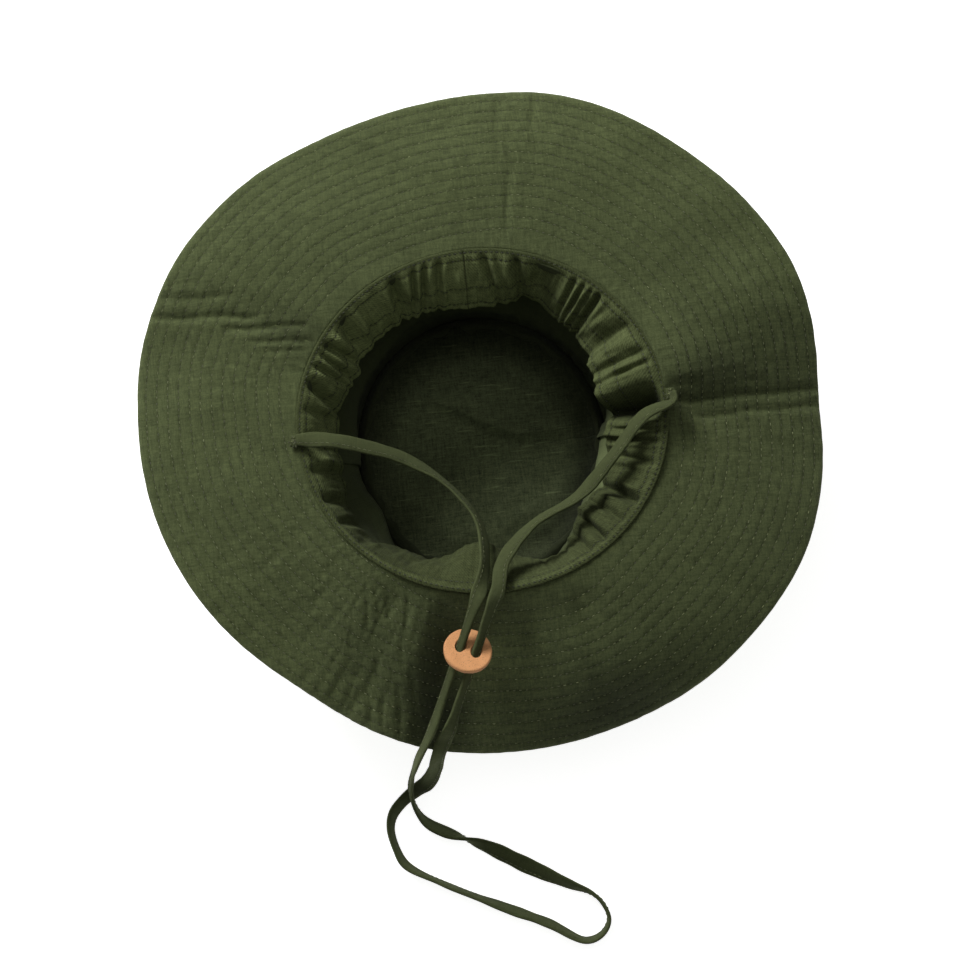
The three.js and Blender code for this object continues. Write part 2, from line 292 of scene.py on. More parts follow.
def thread_material(name, color):
    make = Shader(name)
    flat = make.add("ShaderNodeTexCoord").outputs["Object"]
    uneven = make.math("MULTIPLY_ADD", make.noise(flat, 260.0, 2.0), 0.9, 0.5)
    uneven = make.math("MULTIPLY", uneven, make.attribute("shade").outputs["Fac"])
    make.bump(make.noise(flat, 5200.0, 1.0), 0.00006)
    return make.finish(make.tint(color, uneven), 0.55, Sheen_Weight=0.15, Specular_IOR_Level=0.4)


def leather_material():
    make = Shader("slider_leather")
    flat = make.add("ShaderNodeTexCoord").outputs["Object"]
    pores = make.add("ShaderNodeTexVoronoi", {"Vector": flat, "Scale": 2100.0}).outputs["Distance"]
    grain = make.noise(flat, 420.0, 4.0, 0.65)
    clouds = make.noise(flat, 90.0, 2.0)
    specks = make.add("ShaderNodeMapRange", {"Value": make.noise(flat, 1700.0, 1.0), "From Min": 0.60,
                                             "From Max": 0.68, "To Min": 1.0, "To Max": 0.72})
    shade = make.math("MULTIPLY_ADD", grain, 0.16, 0.84)
    shade = make.math("MULTIPLY", shade, make.math("MULTIPLY_ADD", clouds, 0.16, 0.92))
    shade = make.math("MULTIPLY", shade, specks.outputs["Result"])
    shade = make.math("MULTIPLY", shade, make.attribute("shade").outputs["Fac"])
    make.bump(make.math("MULTIPLY_ADD", pores, 0.6, grain), 0.00004)
    return make.finish(make.tint((0.86, 0.415, 0.175), shade), 0.66, Specular_IOR_Level=0.3)


def metal_material():
    make = Shader("eyelet_paint")
    flat = make.add("ShaderNodeTexCoord").outputs["Object"]
    chips = make.add("ShaderNodeMapRange", {"Value": make.noise(flat, 700.0, 3.0), "From Min": 0.62,
                                            "From Max": 0.66})
    shade_attribute = make.attribute("shade").outputs["Fac"]
    bare = make.math("MULTIPLY", chips.outputs["Result"], shade_attribute)
    mix = make.add("ShaderNodeMix", data_type="RGBA")
    make.put(mix.inputs["Factor"], bare)
    make.put(mix.inputs["A"], (0.030, 0.036, 0.020, 1.0))
    make.put(mix.inputs["B"], (0.30, 0.27, 0.20, 1.0))
    rough = make.math("MULTIPLY_ADD", make.noise(flat, 160.0, 2.0), 0.2, 0.38)
    make.bump(make.noise(flat, 900.0, 2.0), 0.00004)
    return make.finish(mix.outputs["Result"], rough, Metallic=0.6)


def webbing_material():
    make = Shader("loop_webbing")
    flat = make.attribute("flat").outputs["Vector"]
    rib = make.wave(flat, 0.9 * MM, (1, 0))
    cross = make.wave(flat, 1.1 * MM, (0, 1))
    fuzz = make.noise(flat, 900.0, 2.0)
    shade = make.math("MULTIPLY_ADD", rib, 0.10, 0.95)
    shade = make.math("ADD", shade, make.math("MULTIPLY_ADD", fuzz, 0.3, -0.15))
    shade = make.math("MULTIPLY", shade, make.attribute("shade").outputs["Fac"])
    make.bump(make.math("MULTIPLY_ADD", cross, 0.5, rib), 0.00018)
    return make.finish(make.tint((0.070, 0.083, 0.036), shade), 0.85, Sheen_Weight=0.05,
                       Specular_IOR_Level=0.22)


def elastic_material():
    make = Shader("elastic_tape")
    flat = make.attribute("flat").outputs["Vector"]
    cords = make.wave(flat, 1.4 * MM, (0, 1))
    knit = make.wave(flat, 0.8 * MM, (1, 0))
    shade = make.math("MULTIPLY_ADD", cords, 0.12, 0.95)
    shade = make.math("MULTIPLY", shade, make.math("MULTIPLY_ADD", knit, 0.06, 1.0))
    make.bump(make.math("MULTIPLY_ADD", knit, 0.4, cords), 0.0002)
    return make.finish(make.tint((0.12, 0.13, 0.085), shade), 0.8, Sheen_Weight=0.15)


brim_cloth = cloth("brim_ripstop", OLIVE, "object", slub=0.46, mottle=0.03)
wall_cloth = cloth("crown_ripstop", OLIVE_INSIDE, "flat", slub=0.2, shine=0.08)
# The tip's cloth is the crown's cloth made a little darker: painted shade for the inside of the crown.
tip_cloth = cloth("crown_tip_ripstop", (0.076, 0.092, 0.042), "object", slub=0.6, streaks=0.8)
band_cloth = cloth("sweatband_twill", (0.090, 0.108, 0.043), "flat", slub=0.50, twill=1.2,
                   sheen=0.02, shine=0.08)
seam_cloth = cloth("seam_cloth", OLIVE_INSIDE, "flat")
filler_cloth = cloth("stiffening", (0.14, 0.145, 0.10), "flat", weave=0.9)
strap_cloth = cloth("strap_cotton", (0.081, 0.097, 0.040), "flat", weave=0.5, slub=0.22,
                    sheen=0.02, shine=0.1)
thread = thread_material("stitching_thread", THREAD)
# A thread painted darker for stitches sunk in the cloth: painted shade.
thread_in_painted_shade = thread_material("stitching_thread_painted_shade", (0.034, 0.041, 0.017))
leather = leather_material()
eyelet_paint = metal_material()
webbing = webbing_material()
elastic = elastic_material()

# ---- meshes from arrays ---------------------------------------------------------------------


def smoothstep(x):
    t = np.clip(x, 0.0, 1.0)
    return t * t * (3 - 2 * t)


def rounded(distance, reach):
    """How far a rounded edge falls away, from 1 at the edge to 0 at reach, as a quarter circle."""
    return 1 - np.sqrt(np.clip(1 - np.clip(1 - distance / reach, 0, 1) ** 2, 0, 1))


def wobble(x, y, scale, seed):
    """Smooth random relief of unit strength, with features about scale across."""
    draw = np.random.default_rng(seed)
    total = 0.0
    for _ in range(10):
        heading = draw.uniform(0, TAU)
        turn = TAU / (scale * draw.uniform(0.7, 1.6))
        along = x * math.cos(heading) + y * math.sin(heading)
        total = total + np.sin(turn * along + draw.uniform(0, TAU))
    return total / math.sqrt(5.0)


def volume(points, faces):
    """Positive where the quads face outwards."""
    a, b, c, d = (points[faces[:, k]] for k in range(4))
    return np.sum(np.cross(b - a, c - a) * (a + b + c)) + np.sum(np.cross(c - a, d - a) * (a + c + d))


def make_piece(name, points, faces, material, flat=None, shade=None):
    """A mesh object on the hat, from points in mm and quads.

    flat is (corner count, 3) in mm, the pattern's own coordinates, and shade is one per point.
    """
    if volume(points, faces) < 0:
        faces = faces[:, ::-1]
        if flat is not None:
            flat = flat.reshape(-1, 4, 3)[:, ::-1].reshape(-1, 3)
    mesh = bpy.data.meshes.new(name)
    mesh.vertices.add(len(points))
    mesh.vertices.foreach_set("co", (points * MM).astype(np.float32).ravel())
    mesh.loops.add(faces.size)
    mesh.loops.foreach_set("vertex_index", faces.astype(np.int32).ravel())
    mesh.polygons.add(len(faces))
    mesh.polygons.foreach_set("loop_start", np.arange(0, faces.size, 4, dtype=np.int32))
    mesh.polygons.foreach_set("loop_total", np.full(len(faces), 4, np.int32))
    mesh.update(calc_edges=True)
    mesh.validate()
    if flat is not None:
        attribute = mesh.attributes.new("flat", "FLOAT_VECTOR", "CORNER")
        attribute.data.foreach_set("vector", (flat * MM).astype(np.float32).ravel())
    attribute = mesh.attributes.new("shade", "FLOAT", "POINT")
    values = np.ones(len(points)) if shade is None else shade
    attribute.data.foreach_set("value", values.astype(np.float32).ravel())
    mesh.polygons.foreach_set("use_smooth", np.ones(len(faces), bool))
    mesh.materials.append(material)
    piece = bpy.data.objects.new(name, mesh)
    bpy.context.scene.collection.objects.link(piece)
    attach(piece, "hat")
    return piece


def ring_piece(name, section, material, shade=None):
    """A closed ring. section[step, corner] are points in mm; the last step joins the first."""
    steps, corners = section.shape[:2]
    i = np.arange(steps)[:, None]
    j = np.arange(corners)[None, :]
    nxt, beside = (i + 1) % steps, (j + 1) % corners
    faces = np.stack([i * corners + j, nxt * corners + j, nxt * corners + beside, i * corners + beside], -1)
    hops = np.linalg.norm(np.diff(section, axis=1, append=section[:, :1]), axis=2)
    across = np.cumsum(hops, axis=1) - hops
    across_next = np.cumsum(hops, axis=1)
    round_hat = np.linalg.norm(np.roll(section, -1, 0) - section, axis=2).mean(1)
    arc = np.concatenate([[0.0], np.cumsum(round_hat)])
    u0 = np.broadcast_to(arc[:-1, None], across.shape)
    u1 = np.broadcast_to(arc[1:, None], across.shape)
    v0 = np.broadcast_to(across.mean(0), across.shape)
    v1 = np.broadcast_to(across_next.mean(0), across.shape)
    zero = np.zeros_like(u0)
    flat = np.stack([np.stack([u0, v0, zero], -1), np.stack([u1, v0, zero], -1),
                     np.stack([u1, v1, zero], -1), np.stack([u0, v1, zero], -1)], 2)
    shades = None if shade is None else shade.ravel()
    return make_piece(name, section.reshape(-1, 3), faces.reshape(-1, 4), material,
                      flat=flat.reshape(-1, 3), shade=shades)


def slab_piece(name, front, back, material, flat_xy, kept=None, shade=None):
    """A sheet with thickness. front and back are [row, column] points in mm; kept masks its cells."""
    rows, columns = front.shape[:2]
    kept = np.ones((rows - 1, columns - 1), bool) if kept is None else kept
    i, j = np.nonzero(kept)
    count = rows * columns

    def at(row, column):
        return row * columns + column

    near = np.stack([at(i, j), at(i + 1, j), at(i + 1, j + 1), at(i, j + 1)], -1)
    far = near[:, ::-1] + count
    padded = np.zeros((rows + 1, columns + 1), bool)
    padded[1:-1, 1:-1] = kept
    walls = []
    sides = [
        ((0, -1), (0, 0), (1, 0)), ((0, 1), (1, 1), (0, 1)),
        ((-1, 0), (0, 1), (0, 0)), ((1, 0), (1, 0), (1, 1)),
    ]
    for (di, dj), (ra, ca), (rb, cb) in sides:
        open_side = ~padded[i + 1 + di, j + 1 + dj]
        a = at(i[open_side] + ra, j[open_side] + ca)
        b = at(i[open_side] + rb, j[open_side] + cb)
        walls.append(np.stack([b, a, a + count, b + count], -1))
    faces = np.concatenate([near, far, *walls])
    points = np.concatenate([front.reshape(-1, 3), back.reshape(-1, 3)])
    used = np.unique(faces)
    renumber = np.zeros(len(points), int)
    renumber[used] = np.arange(len(used))
    flat_points = np.concatenate([flat_xy.reshape(-1, 3)] * 2)
    shades = None if shade is None else np.concatenate([shade.ravel()] * 2)[used]
    return make_piece(name, points[used], renumber[faces], material,
                      flat=flat_points[faces].reshape(-1, 3), shade=shades)


def unit(vectors):
    return vectors / np.maximum(np.linalg.norm(vectors, axis=-1, keepdims=True), 1e-9)


def resample(line, spacing, closed=False):
    """Points each spacing mm along a polyline, which may carry extra columns after x, y, z."""
    if closed:
        line = np.concatenate([line, line[:1]])
    run = np.concatenate([[0.0], np.cumsum(np.linalg.norm(np.diff(line[:, :3], axis=0), axis=1))])
    wanted = np.arange(0.0, run[-1] - spacing * 0.5, spacing)
    return np.stack([np.interp(wanted, run, line[:, k]) for k in range(line.shape[1])], -1)


STATIONS = np.array([-0.5, -0.2, 0.2, 0.5])  # along a stitch: sunk at its ends, raised between


def stitches(lines, width=0.42, height=0.3, pitch=STITCH, cover=0.66, closed=True, seed=1):
    """Points and quads of one small thread for each stitch. lines are [x, y, z, nx, ny, nz] rows."""
    draw = np.random.default_rng(seed)
    clouds, quads, shades, done = [], [], [], 0
    for line in lines:
        spots = resample(line, pitch, closed)
        ahead = np.roll(spots[:, :3], -1, 0) - np.roll(spots[:, :3], 1, 0)
        if not closed:
            ahead = np.gradient(spots[:, :3], axis=0)
        up = unit(spots[:, 3:])
        ahead = unit(ahead - up * np.sum(ahead * up, 1, keepdims=True))
        side = np.cross(up, ahead)
        count = len(spots)
        long = pitch * cover * draw.uniform(0.85, 1.12, count)
        skew = draw.normal(0, 0.05, count)
        ahead = unit(ahead + side * skew[:, None])
        rings = []
        for t in STATIONS:
            full = abs(t) < 0.4
            middle = spots[:, :3] + ahead * (t * long)[:, None] + up * (height * 0.35 if full else -0.12)
            half = width / 2 * (1.0 if full else 0.6)
            corners = [side * half, up * height * (0.6 if full else 0.35), -side * half, -up * height * 0.5]
            rings.append(np.stack([middle + c for c in corners], 1))
        cloud = np.stack(rings, 1).reshape(-1, 3)
        base = done + np.arange(count)[:, None, None] * 16
        ring = np.arange(3)[None, :, None] * 4
        corner = np.arange(4)[None, None, :]
        nxt = (corner + 1) % 4
        quads.append(np.stack([base + ring + corner, base + ring + 4 + corner, base + ring + 4 + nxt,
                               base + ring + nxt], -1).reshape(-1, 4))
        ends = base[:, 0] + np.array([[3, 2, 1, 0]])
        quads.append(ends[:, ::-1])
        quads.append(ends + 12)
        clouds.append(cloud)
        shades.append(np.repeat(0.55 + 1.1 * draw.uniform(0, 1, count) ** 2, 16))
        done += len(cloud)
    return np.concatenate(clouds), np.concatenate(quads), np.concatenate(shades)


def stitch_piece(name, lines, material=None, **how):
    points, faces, shades = stitches(lines, **how)
    return make_piece(name, points, faces, material or thread, shade=shades)


# ---- surfaces of the hat --------------------------------------------------------------------


def away_from(degrees, at):
    return (degrees - at + 180.0) % 360.0 - 180.0


def swells(kinds, degrees):
    """Sum of smooth swells round the hat: (direction, spread, amount)."""
    total = 0.0
    for at, spread, amount in kinds:
        total = total + amount * np.exp(-((away_from(degrees, at) / spread) ** 2))
    return total


def oval(half_x, half_y, degrees):
    a = np.radians(degrees)
    return half_x * half_y / np.hypot(half_y * np.cos(a), half_x * np.sin(a))


def rim_radius(degrees):
    return oval(RIM_X, RIM_Y, degrees)


def wall_radius(degrees, z):
    """Inner face of the crown wall."""
    t = z / RIM_Z
    straight = oval(TIP_X, TIP_Y, degrees) * (1 - t) + rim_radius(degrees) * t
    return straight - WALL_INSET + WALL_BULGE * np.sin(np.pi * t)


def polar(radius, degrees, z):
    a = np.radians(degrees)
    return np.stack(np.broadcast_arrays(radius * np.cos(a), radius * np.sin(a), z), -1)


def grid_normals(grid):
    """Unit normals of a closed [step round, step out] grid: up if its steps go outwards."""
    round_way = np.roll(grid, -1, 0) - np.roll(grid, 1, 0)
    return unit(np.cross(np.gradient(grid, axis=1), round_way))


# ---- brim -----------------------------------------------------------------------------------

BRIM_STEPS = 700
CURL = (291, 17, 19.0)  # the front edge turns down further towards the right
CURL_FROM = 40.0
# (direction, spread, mm wider): small strays of the edge that the plain solid doesn't have.
EDGE_STRAYS = [
    (70, 14, 3.0), (124, 10, 2.2), (163, 8, 2.4), (333, 12, 2.4), (233, 14, -1.8), (357, 7, -2.2),
    (290, 16, 5.0),
]
RIDGES = [(30, 15, 3.0)]  # (direction, spread, mm higher) towards the edge
RIDGE_FROM = 8.0
DISH = 7.0  # degrees flatter at the opening, and as many steeper at the edge
DISH_CHANGES = [(216, 20, -9.0), (18, 18, -7.0)]
# (direction, swing by the edge, spread, fade, share, drop, from): where one part of the brim
# lies lower than the next, the drop in mm going anticlockwise and how much of it is past the step.
STEPS = [
    (2.5, 0.0, 4.6, 24.0, 0.5, 12.5, -12.0),
    (250.5, 2.5, 3.4, 34.0, 0.75, -14.0, -3.0),
    (234.0, 1.0, 4.5, 24.0, 0.75, -6.0, -8.0),
]
# (direction at the opening, degrees it swings by the edge, from, to, half-width, depth) in mm.
CREASES = [
    (77, 0.0, 5, 60, 2.0, 0.55), (74, 0.5, 62, 92, 1.8, 0.6), (81, 0.0, 66, 92, 1.8, 0.5),
    (292, -6.0, 6, 80, 5.5, 1.0), (318, 3.0, 30, 92, 5.0, 0.6), (206, 2.0, 4, 46, 2.6, 0.4),
]
# Single wrinkles: from (x, y) to (x, y), half-width and depth, in mm.
WRINKLES = [
    (-162, 84, -119, 79, 2.0, 1.0), (-168, 75, -109, 67, 1.9, 1.7), (-130, 63, -84, 59, 1.9, 1.7),
    (-116, 55, -80, 50, 1.6, 1.2), (-110, 49, -84, 46, 1.4, 0.8), (-160, 91, -138, 89, 1.8, 0.5),
    (-150, 80, -90, 63, 8.0, 1.2),
    (-69, -80, -71, -102, 1.2, 1.0), (-64, -82, -64, -95, 1.0, 0.8), (-58, -84, -59, -100, 1.1, 1.0),
    (-48, -84, -51, -108, 1.1, 1.1), (-31, -89, -32, -108, 1.2, 0.9), (-37, -92, -39, -106, 1.0, 0.6),
    (-58, -128, -61, -158, 1.3, 1.3), (-75, -128, -74, -150, 1.2, 1.0), (-68, -133, -69, -151, 1.2, 1.1),
    (-51, -121, -52, -160, 1.4, 1.1), (-68, -111, -69, -127, 1.1, 0.8), (-83, -127, -83, -139, 1.1, 0.6),
    (-44, -113, -44, -137, 1.2, 0.8), (-53, -104, -55, -124, 1.1, 0.7), (-78, -96, -81, -112, 1.2, 0.6),
    (96, -1, 180, 1, 2.4, 1.6), (110, -10, 178, -8, 2.0, 1.3), (93, 7, 116, 7, 2.4, 0.8),
    (27, 168, 24, 141, 1.8, 0.5), (30, 150, 24, 94, 1.7, 0.5), (46, 170, 43, 133, 1.8, 0.4),
]
# (direction, spread, mm out, spread, how much darker; below nought paler): painted shade where the brim's
# folds face away from the lamps and under the slider and strap, and painted light on a few patches that
# face them.
BRIM_PAINTED_LIGHT_AND_SHADE = [
    (253, 5.5, 55, 45, 0.60), (244, 7, 30, 40, 0.12), (288, 14, 76, 24, 0.50), (259, 4, 62, 16, 0.30),
    (5, 6, 26, 30, 0.30), (148, 6, 12, 18, 0.30), (62, 26, 84, 34, -0.14), (218, 20, 74, 30, -0.26),
    (18, 9, 78, 26, -0.14),
]
# (direction, spread, mm): where the rows of stitching pucker the cloth more.
PUCKERS = [(214, 20, 0.10), (355, 16, 0.12), (14, 12, 0.06), (286, 40, 0.05), (160, 12, 0.08)]
DRAWN_UP = [(237, 11, 1.0)]  # where the cloth is drawn up in short ridges across the rows
# Painted shade in the stitched grooves is deeper at the right, where the brim lies in shade.
GROOVE_PAINTED_SHADE = [(8, 16, 0.34), (300, 40, 0.06)]  # where the grooves look darker
PUCKER_ROUND = 140.0  # radius at which the puckers' pattern is measured round the hat
EDGE_ROUND, EDGE_DROP = 3.4, 1.45  # how far in the turned edge is rounded off, and by how much


def edge_samples():
    """Distances in from the turned edge, close together at each row of stitching."""
    edge = [0.0, 0.12, 0.45, 1.0, 1.8, 2.8, 3.8]
    near_row = [-0.75, -0.32, 0.0, 0.32, 0.75, 1.7, 3.0, 4.3]
    rows = [ROW_FIRST + ROW_PITCH * row + off for row in range(ROWS) for off in near_row]
    return np.array(edge + rows[:-3])


def brim_surface():
    """The brim's inner face without stitching: points, normals and distances, [round, out]."""
    degrees = np.linspace(0, 360, BRIM_STEPS, endpoint=False)[:, None]
    width = BRIM_WIDTH + swells(BRIM_CUT + EDGE_STRAYS, degrees)
    samples = edge_samples()
    inner = width - np.linspace(0, 1, 6)[None, :-1] * (width - samples[-1])
    edge = np.concatenate([inner, np.broadcast_to(samples[::-1], (BRIM_STEPS, len(samples)))], 1)
    out = width - edge
    bend = CURL[2] * np.exp(-((away_from(degrees, CURL[0]) / CURL[1]) ** 2))
    dish = (DISH + swells(DISH_CHANGES, degrees)) * (2 * out / width - 1)
    curl = bend * smoothstep((out - CURL_FROM) / 30)
    slope = np.radians(BRIM_SLOPE + swells(BRIM_FOLDS, degrees) + curl + dish)
    middle = (slope[:, 1:] + slope[:, :-1]) / 2
    hop = np.diff(out, axis=1)
    zero = np.zeros((BRIM_STEPS, 1))
    radius = rim_radius(degrees) + WALL_THICKNESS + RIM_GAP
    radius = radius + np.concatenate([zero, np.cumsum(hop * np.cos(middle), 1)], 1)
    z = RIM_Z - np.concatenate([zero, np.cumsum(hop * np.sin(middle), 1)], 1)
    rise = smoothstep((out - RIDGE_FROM) / 50)
    z = z + swells(RIDGES, degrees) * rise
    for at, swing, spread, fade, share, drop, start in STEPS:
        away = away_from(degrees, at + swing * out / BRIM_WIDTH)
        step = (0.5 * np.tanh(away / spread) + share - 0.5) * np.exp(-((away / fade) ** 2))
        z = z + step * drop * smoothstep((out - start) / 28)
    for at, swing, start, stop, half, depth in CREASES:
        away = np.radians(away_from(degrees, at + swing * out / BRIM_WIDTH)) * radius
        window = smoothstep((out - start) / 12) * smoothstep((stop - out) / 14)
        z = z - depth * window * np.exp(-((away / half) ** 2))
    points = polar(radius, degrees, z)
    x, y = points[..., 0], points[..., 1]
    for x0, y0, x1, y1, half, depth in WRINKLES:
        long = math.hypot(x1 - x0, y1 - y0)
        along = ((x - x0) * (x1 - x0) + (y - y0) * (y1 - y0)) / long
        aside = ((x - x0) * (y1 - y0) - (y - y0) * (x1 - x0)) / long
        aside = aside + 0.5 * np.sin(along / 6.0 + x0)
        ends = smoothstep((along + 3) / 9) * smoothstep((long + 3 - along) / 9)
        points[..., 2] -= depth * ends * np.exp(-((aside / half) ** 2)) * smoothstep((out + 2) / 5)
    free = smoothstep(out / 18)
    points[..., 2] += free * (0.34 * wobble(x, y, 42, 11) + 0.07 * wobble(x, y, 15, 12))
    return degrees, points, grid_normals(points), out, edge, radius


def quilting(degrees, out, edge, seed):
    """Height of the quilted face over the plain one, and how deep in a stitched groove it is."""
    row = np.clip(np.round((edge - ROW_FIRST) / ROW_PITCH), 0, ROWS - 1)
    off = np.abs(edge - ROW_FIRST - ROW_PITCH * row)
    groove = np.exp(-((off / 0.55) ** 2))
    between = 1 - np.exp(-((off / 1.3) ** 2))
    arc = np.radians(degrees) * PUCKER_ROUND
    strength = 0.05 + swells(PUCKERS, degrees)
    pucker = wobble(arc, out * 0.22, 7.5, seed) * strength
    small = wobble(arc, out * 0.5, 3.6, seed + 1) * 0.035
    drawn = wobble(arc, out * 0.13, 5.5, seed + 2)
    drawn = -0.5 * swells(DRAWN_UP, degrees) * smoothstep((drawn - 0.35) / 0.9) * smoothstep((out - 4) / 12)
    return 0.05 * between - 0.12 * groove + between * (pucker + small) + drawn, groove


degrees, base, normal, out, edge, radius = brim_surface()
rounding = EDGE_DROP * rounded(edge, EDGE_ROUND)
upper_relief, groove = quilting(degrees, out, edge, 21)
lower_relief = quilting(degrees, out, edge, 31)[0]
upper = base + normal * (upper_relief - rounding)[..., None]
lower = base - normal * (BRIM_THICKNESS + lower_relief - rounding)[..., None]
ROW_COLUMNS = [int(np.argmin(np.abs(edge[0] - ROW_FIRST - ROW_PITCH * row))) for row in range(ROWS)]
hidden = np.linspace(base.shape[1] - 1, 0, 13).astype(int)  # columns of a ply's unseen back


def brim_shade(relief_groove):
    """Painted shade in the stitched grooves and on the listed patches where the brim lies in shade, painted
    light on a few patches, and paler where the turned edge rubs.
    """
    rub = 1 + 0.10 * np.exp(-((edge / 1.2) ** 2))
    # slight random clouding of the dye, less the listed patches of painted shade and plus those of painted
    # light
    cloud = 1 + 0.012 * wobble(base[..., 0], base[..., 1], 26, 41)
    for at, wide, middle, reach, deep in BRIM_PAINTED_LIGHT_AND_SHADE:
        away = (away_from(degrees, at) / wide) ** 2 + ((out - middle) / reach) ** 2
        cloud = cloud - deep * np.exp(-away)
    # the painted shade in the grooves, broken into dashes at random and deeper where listed
    dashes = 0.6 + 0.5 * np.clip(wobble(np.radians(degrees) * radius, out * 9, 4.5, 42), -1, 1.4)
    deep = 0.40 + swells(GROOVE_PAINTED_SHADE, degrees)
    return (1 - np.minimum(deep * relief_groove * dashes, 0.85)) * rub * cloud


def ply_ring(face, backing, shade):
    """One ply as a closed section: its stitched face, and its back at backing mm in."""
    back = (base - normal * backing[..., None])[:, hidden]
    section = np.concatenate([face, back], 1)
    return section, np.concatenate([shade, np.ones(back.shape[:2])], 1)


def make_brim():
    shade = brim_shade(groove)
    under_upper = np.where(edge < EDGE_ROUND, PLY + rounding * 0.6, PLY)
    section, shades = ply_ring(upper, under_upper, shade)
    top = ring_piece("brim_inner_cloth", section, brim_cloth, shades)
    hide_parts("brim_inner_face")
    over_lower = BRIM_THICKNESS - np.where(edge < EDGE_ROUND, PLY + rounding * 0.6, PLY)
    section, shades = ply_ring(lower, over_lower, shade)
    under = ring_piece("brim_outer_cloth", section, brim_cloth, shades)
    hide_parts("brim_outer_face")
    columns = np.nonzero(edge[0] > 4.4)[0][::4]
    high = (base - normal * PLY_STEP)[:, columns]
    low = (base - normal * (PLY_STEP + PLY))[:, columns[::-1]]
    filler = ring_piece("brim_stiffening", np.concatenate([high, low], 1), filler_cloth)
    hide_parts("brim_interlining")


def make_brim_stitching():
    rows_above, rows_below = [], []
    for column in ROW_COLUMNS:
        rows_above.append(np.concatenate([upper[:, column], normal[:, column]], 1))
        rows_below.append(np.concatenate([lower[:, column], -normal[:, column]], 1))
    stitch_piece("brim_stitching_inside", rows_above, cover=0.48, seed=51)
    stitch_piece("brim_stitching_outside", rows_below, cover=0.48, seed=52)


make_brim()
make_brim_stitching()

# ---- sweatband ------------------------------------------------------------------------------

BAND_STEPS = 900
BAND_REACH = 19.0  # how far in from the opening the band's free edge lies
# (direction, spread, mm further in): where the band hangs over the opening, or stands up steeply.
BAND_LEANS = [
    (4, 30, 14), (24, 10, 2.5), (46, 9, 1), (65, 8, -5), (88, 20, 6.5), (152, 11, 3.5), (185, 12, 1.5),
    (214, 16, -7.5), (242, 8, -2), (262, 14, 10.5), (292, 10, -5), (314, 9, 7), (331, 12, 3), (353, 9, 1.5),
]
# (direction at the seam, direction at the free edge, half-width in degrees, mm outwards) of
# the single folds in the band.
BAND_FOLDS = [
    (115.5, 119, 1.7, 5.4), (107.5, 115, 0.9, 3.4), (103.5, 110.5, 0.9, 3.2), (98.5, 103.5, 1.1, 3.8),
    (84, 76, 1.3, 4.2), (80, 71.5, 0.8, 1.6), (72.5, 66.5, 1.5, 5.4), (60.5, 60.5, 5, 3.4),
    (50.5, 50, 0.9, 3), (47, 47, 0.8, 3), (44, 43.5, 0.8, 2.8), (41, 40, 1.2, 4.4),
    (27, 29, 2.4, 3.6), (17, 18.5, 1.1, 2.2), (13, 12, 0.9, 2.2), (-1.5, -0.5, 4.2, 8.5),
    (-10.5, -9, 1.1, 3), (-14, -13, 0.9, 2.8), (-21.5, -19, 1.2, 2.4), (-35, -33, 1.5, 5.2),
    (-43, -41.5, 1, 1.8), (-51.5, -50, 1.2, 3.8), (-58, -56.5, 1, 2), (137, 142.5, 2.6, 4.6),
    (130, 133.5, 1.5, 1.8), (148, 145, 1.5, 5.2), (151, 153, 0.9, 3.4), (155.5, 156.5, 0.9, 3),
    (161, 167.5, 1.6, 5.6), (170, 171, 1.1, 1.4), (180, 182, 2.4, 1.8), (190.5, 192, 1.4, 2),
    (200.5, 203, 1.8, 2.6), (210, 212, 1.4, 1.6), (219, 221, 2, 1.4),
]
# The same for the deep folds, which stay as deep at the free edge; below nought stands proud.
BAND_GULLIES = [(0.5, -2.5, 4.2, 9.5), (9.5, 7.0, 4.0, -3.5)]
GATHERS = 84  # small pleats that the elastic draws up round the band
SEAM_STITCH = 2.8
ELASTIC_MIDDLE, ELASTIC_HALF = 75.0, 115.0  # the elastic's stretch of the band, in degrees
PLAIN_FRONT = (258, 48)
# (direction, spread, how much paler, below nought darker): painted light on the band's back and left, which
# face away from the key lamp, darker at the front and its sides, and painted shade in the deep fold at the
# right.
BAND_PAINTED_LIGHT_AND_SHADE = [
    (258, 46, -0.36), (320, 24, -0.32), (222, 18, -0.20), (102, 46, 1.25), (138, 20, 0.7), (172, 24, 0.7),
    (-1, 4.2, -0.72),
]


def band_fall(angle, brim, past):
    """Heading in degrees below the level, going in from the seam, for a mean angle of fall."""
    down = angle - 13 + 26 * np.clip(past / BAND_WIDTH, 0, 1)
    return np.radians(-brim + (down + brim) * smoothstep((past + 1.9) / 4.5))


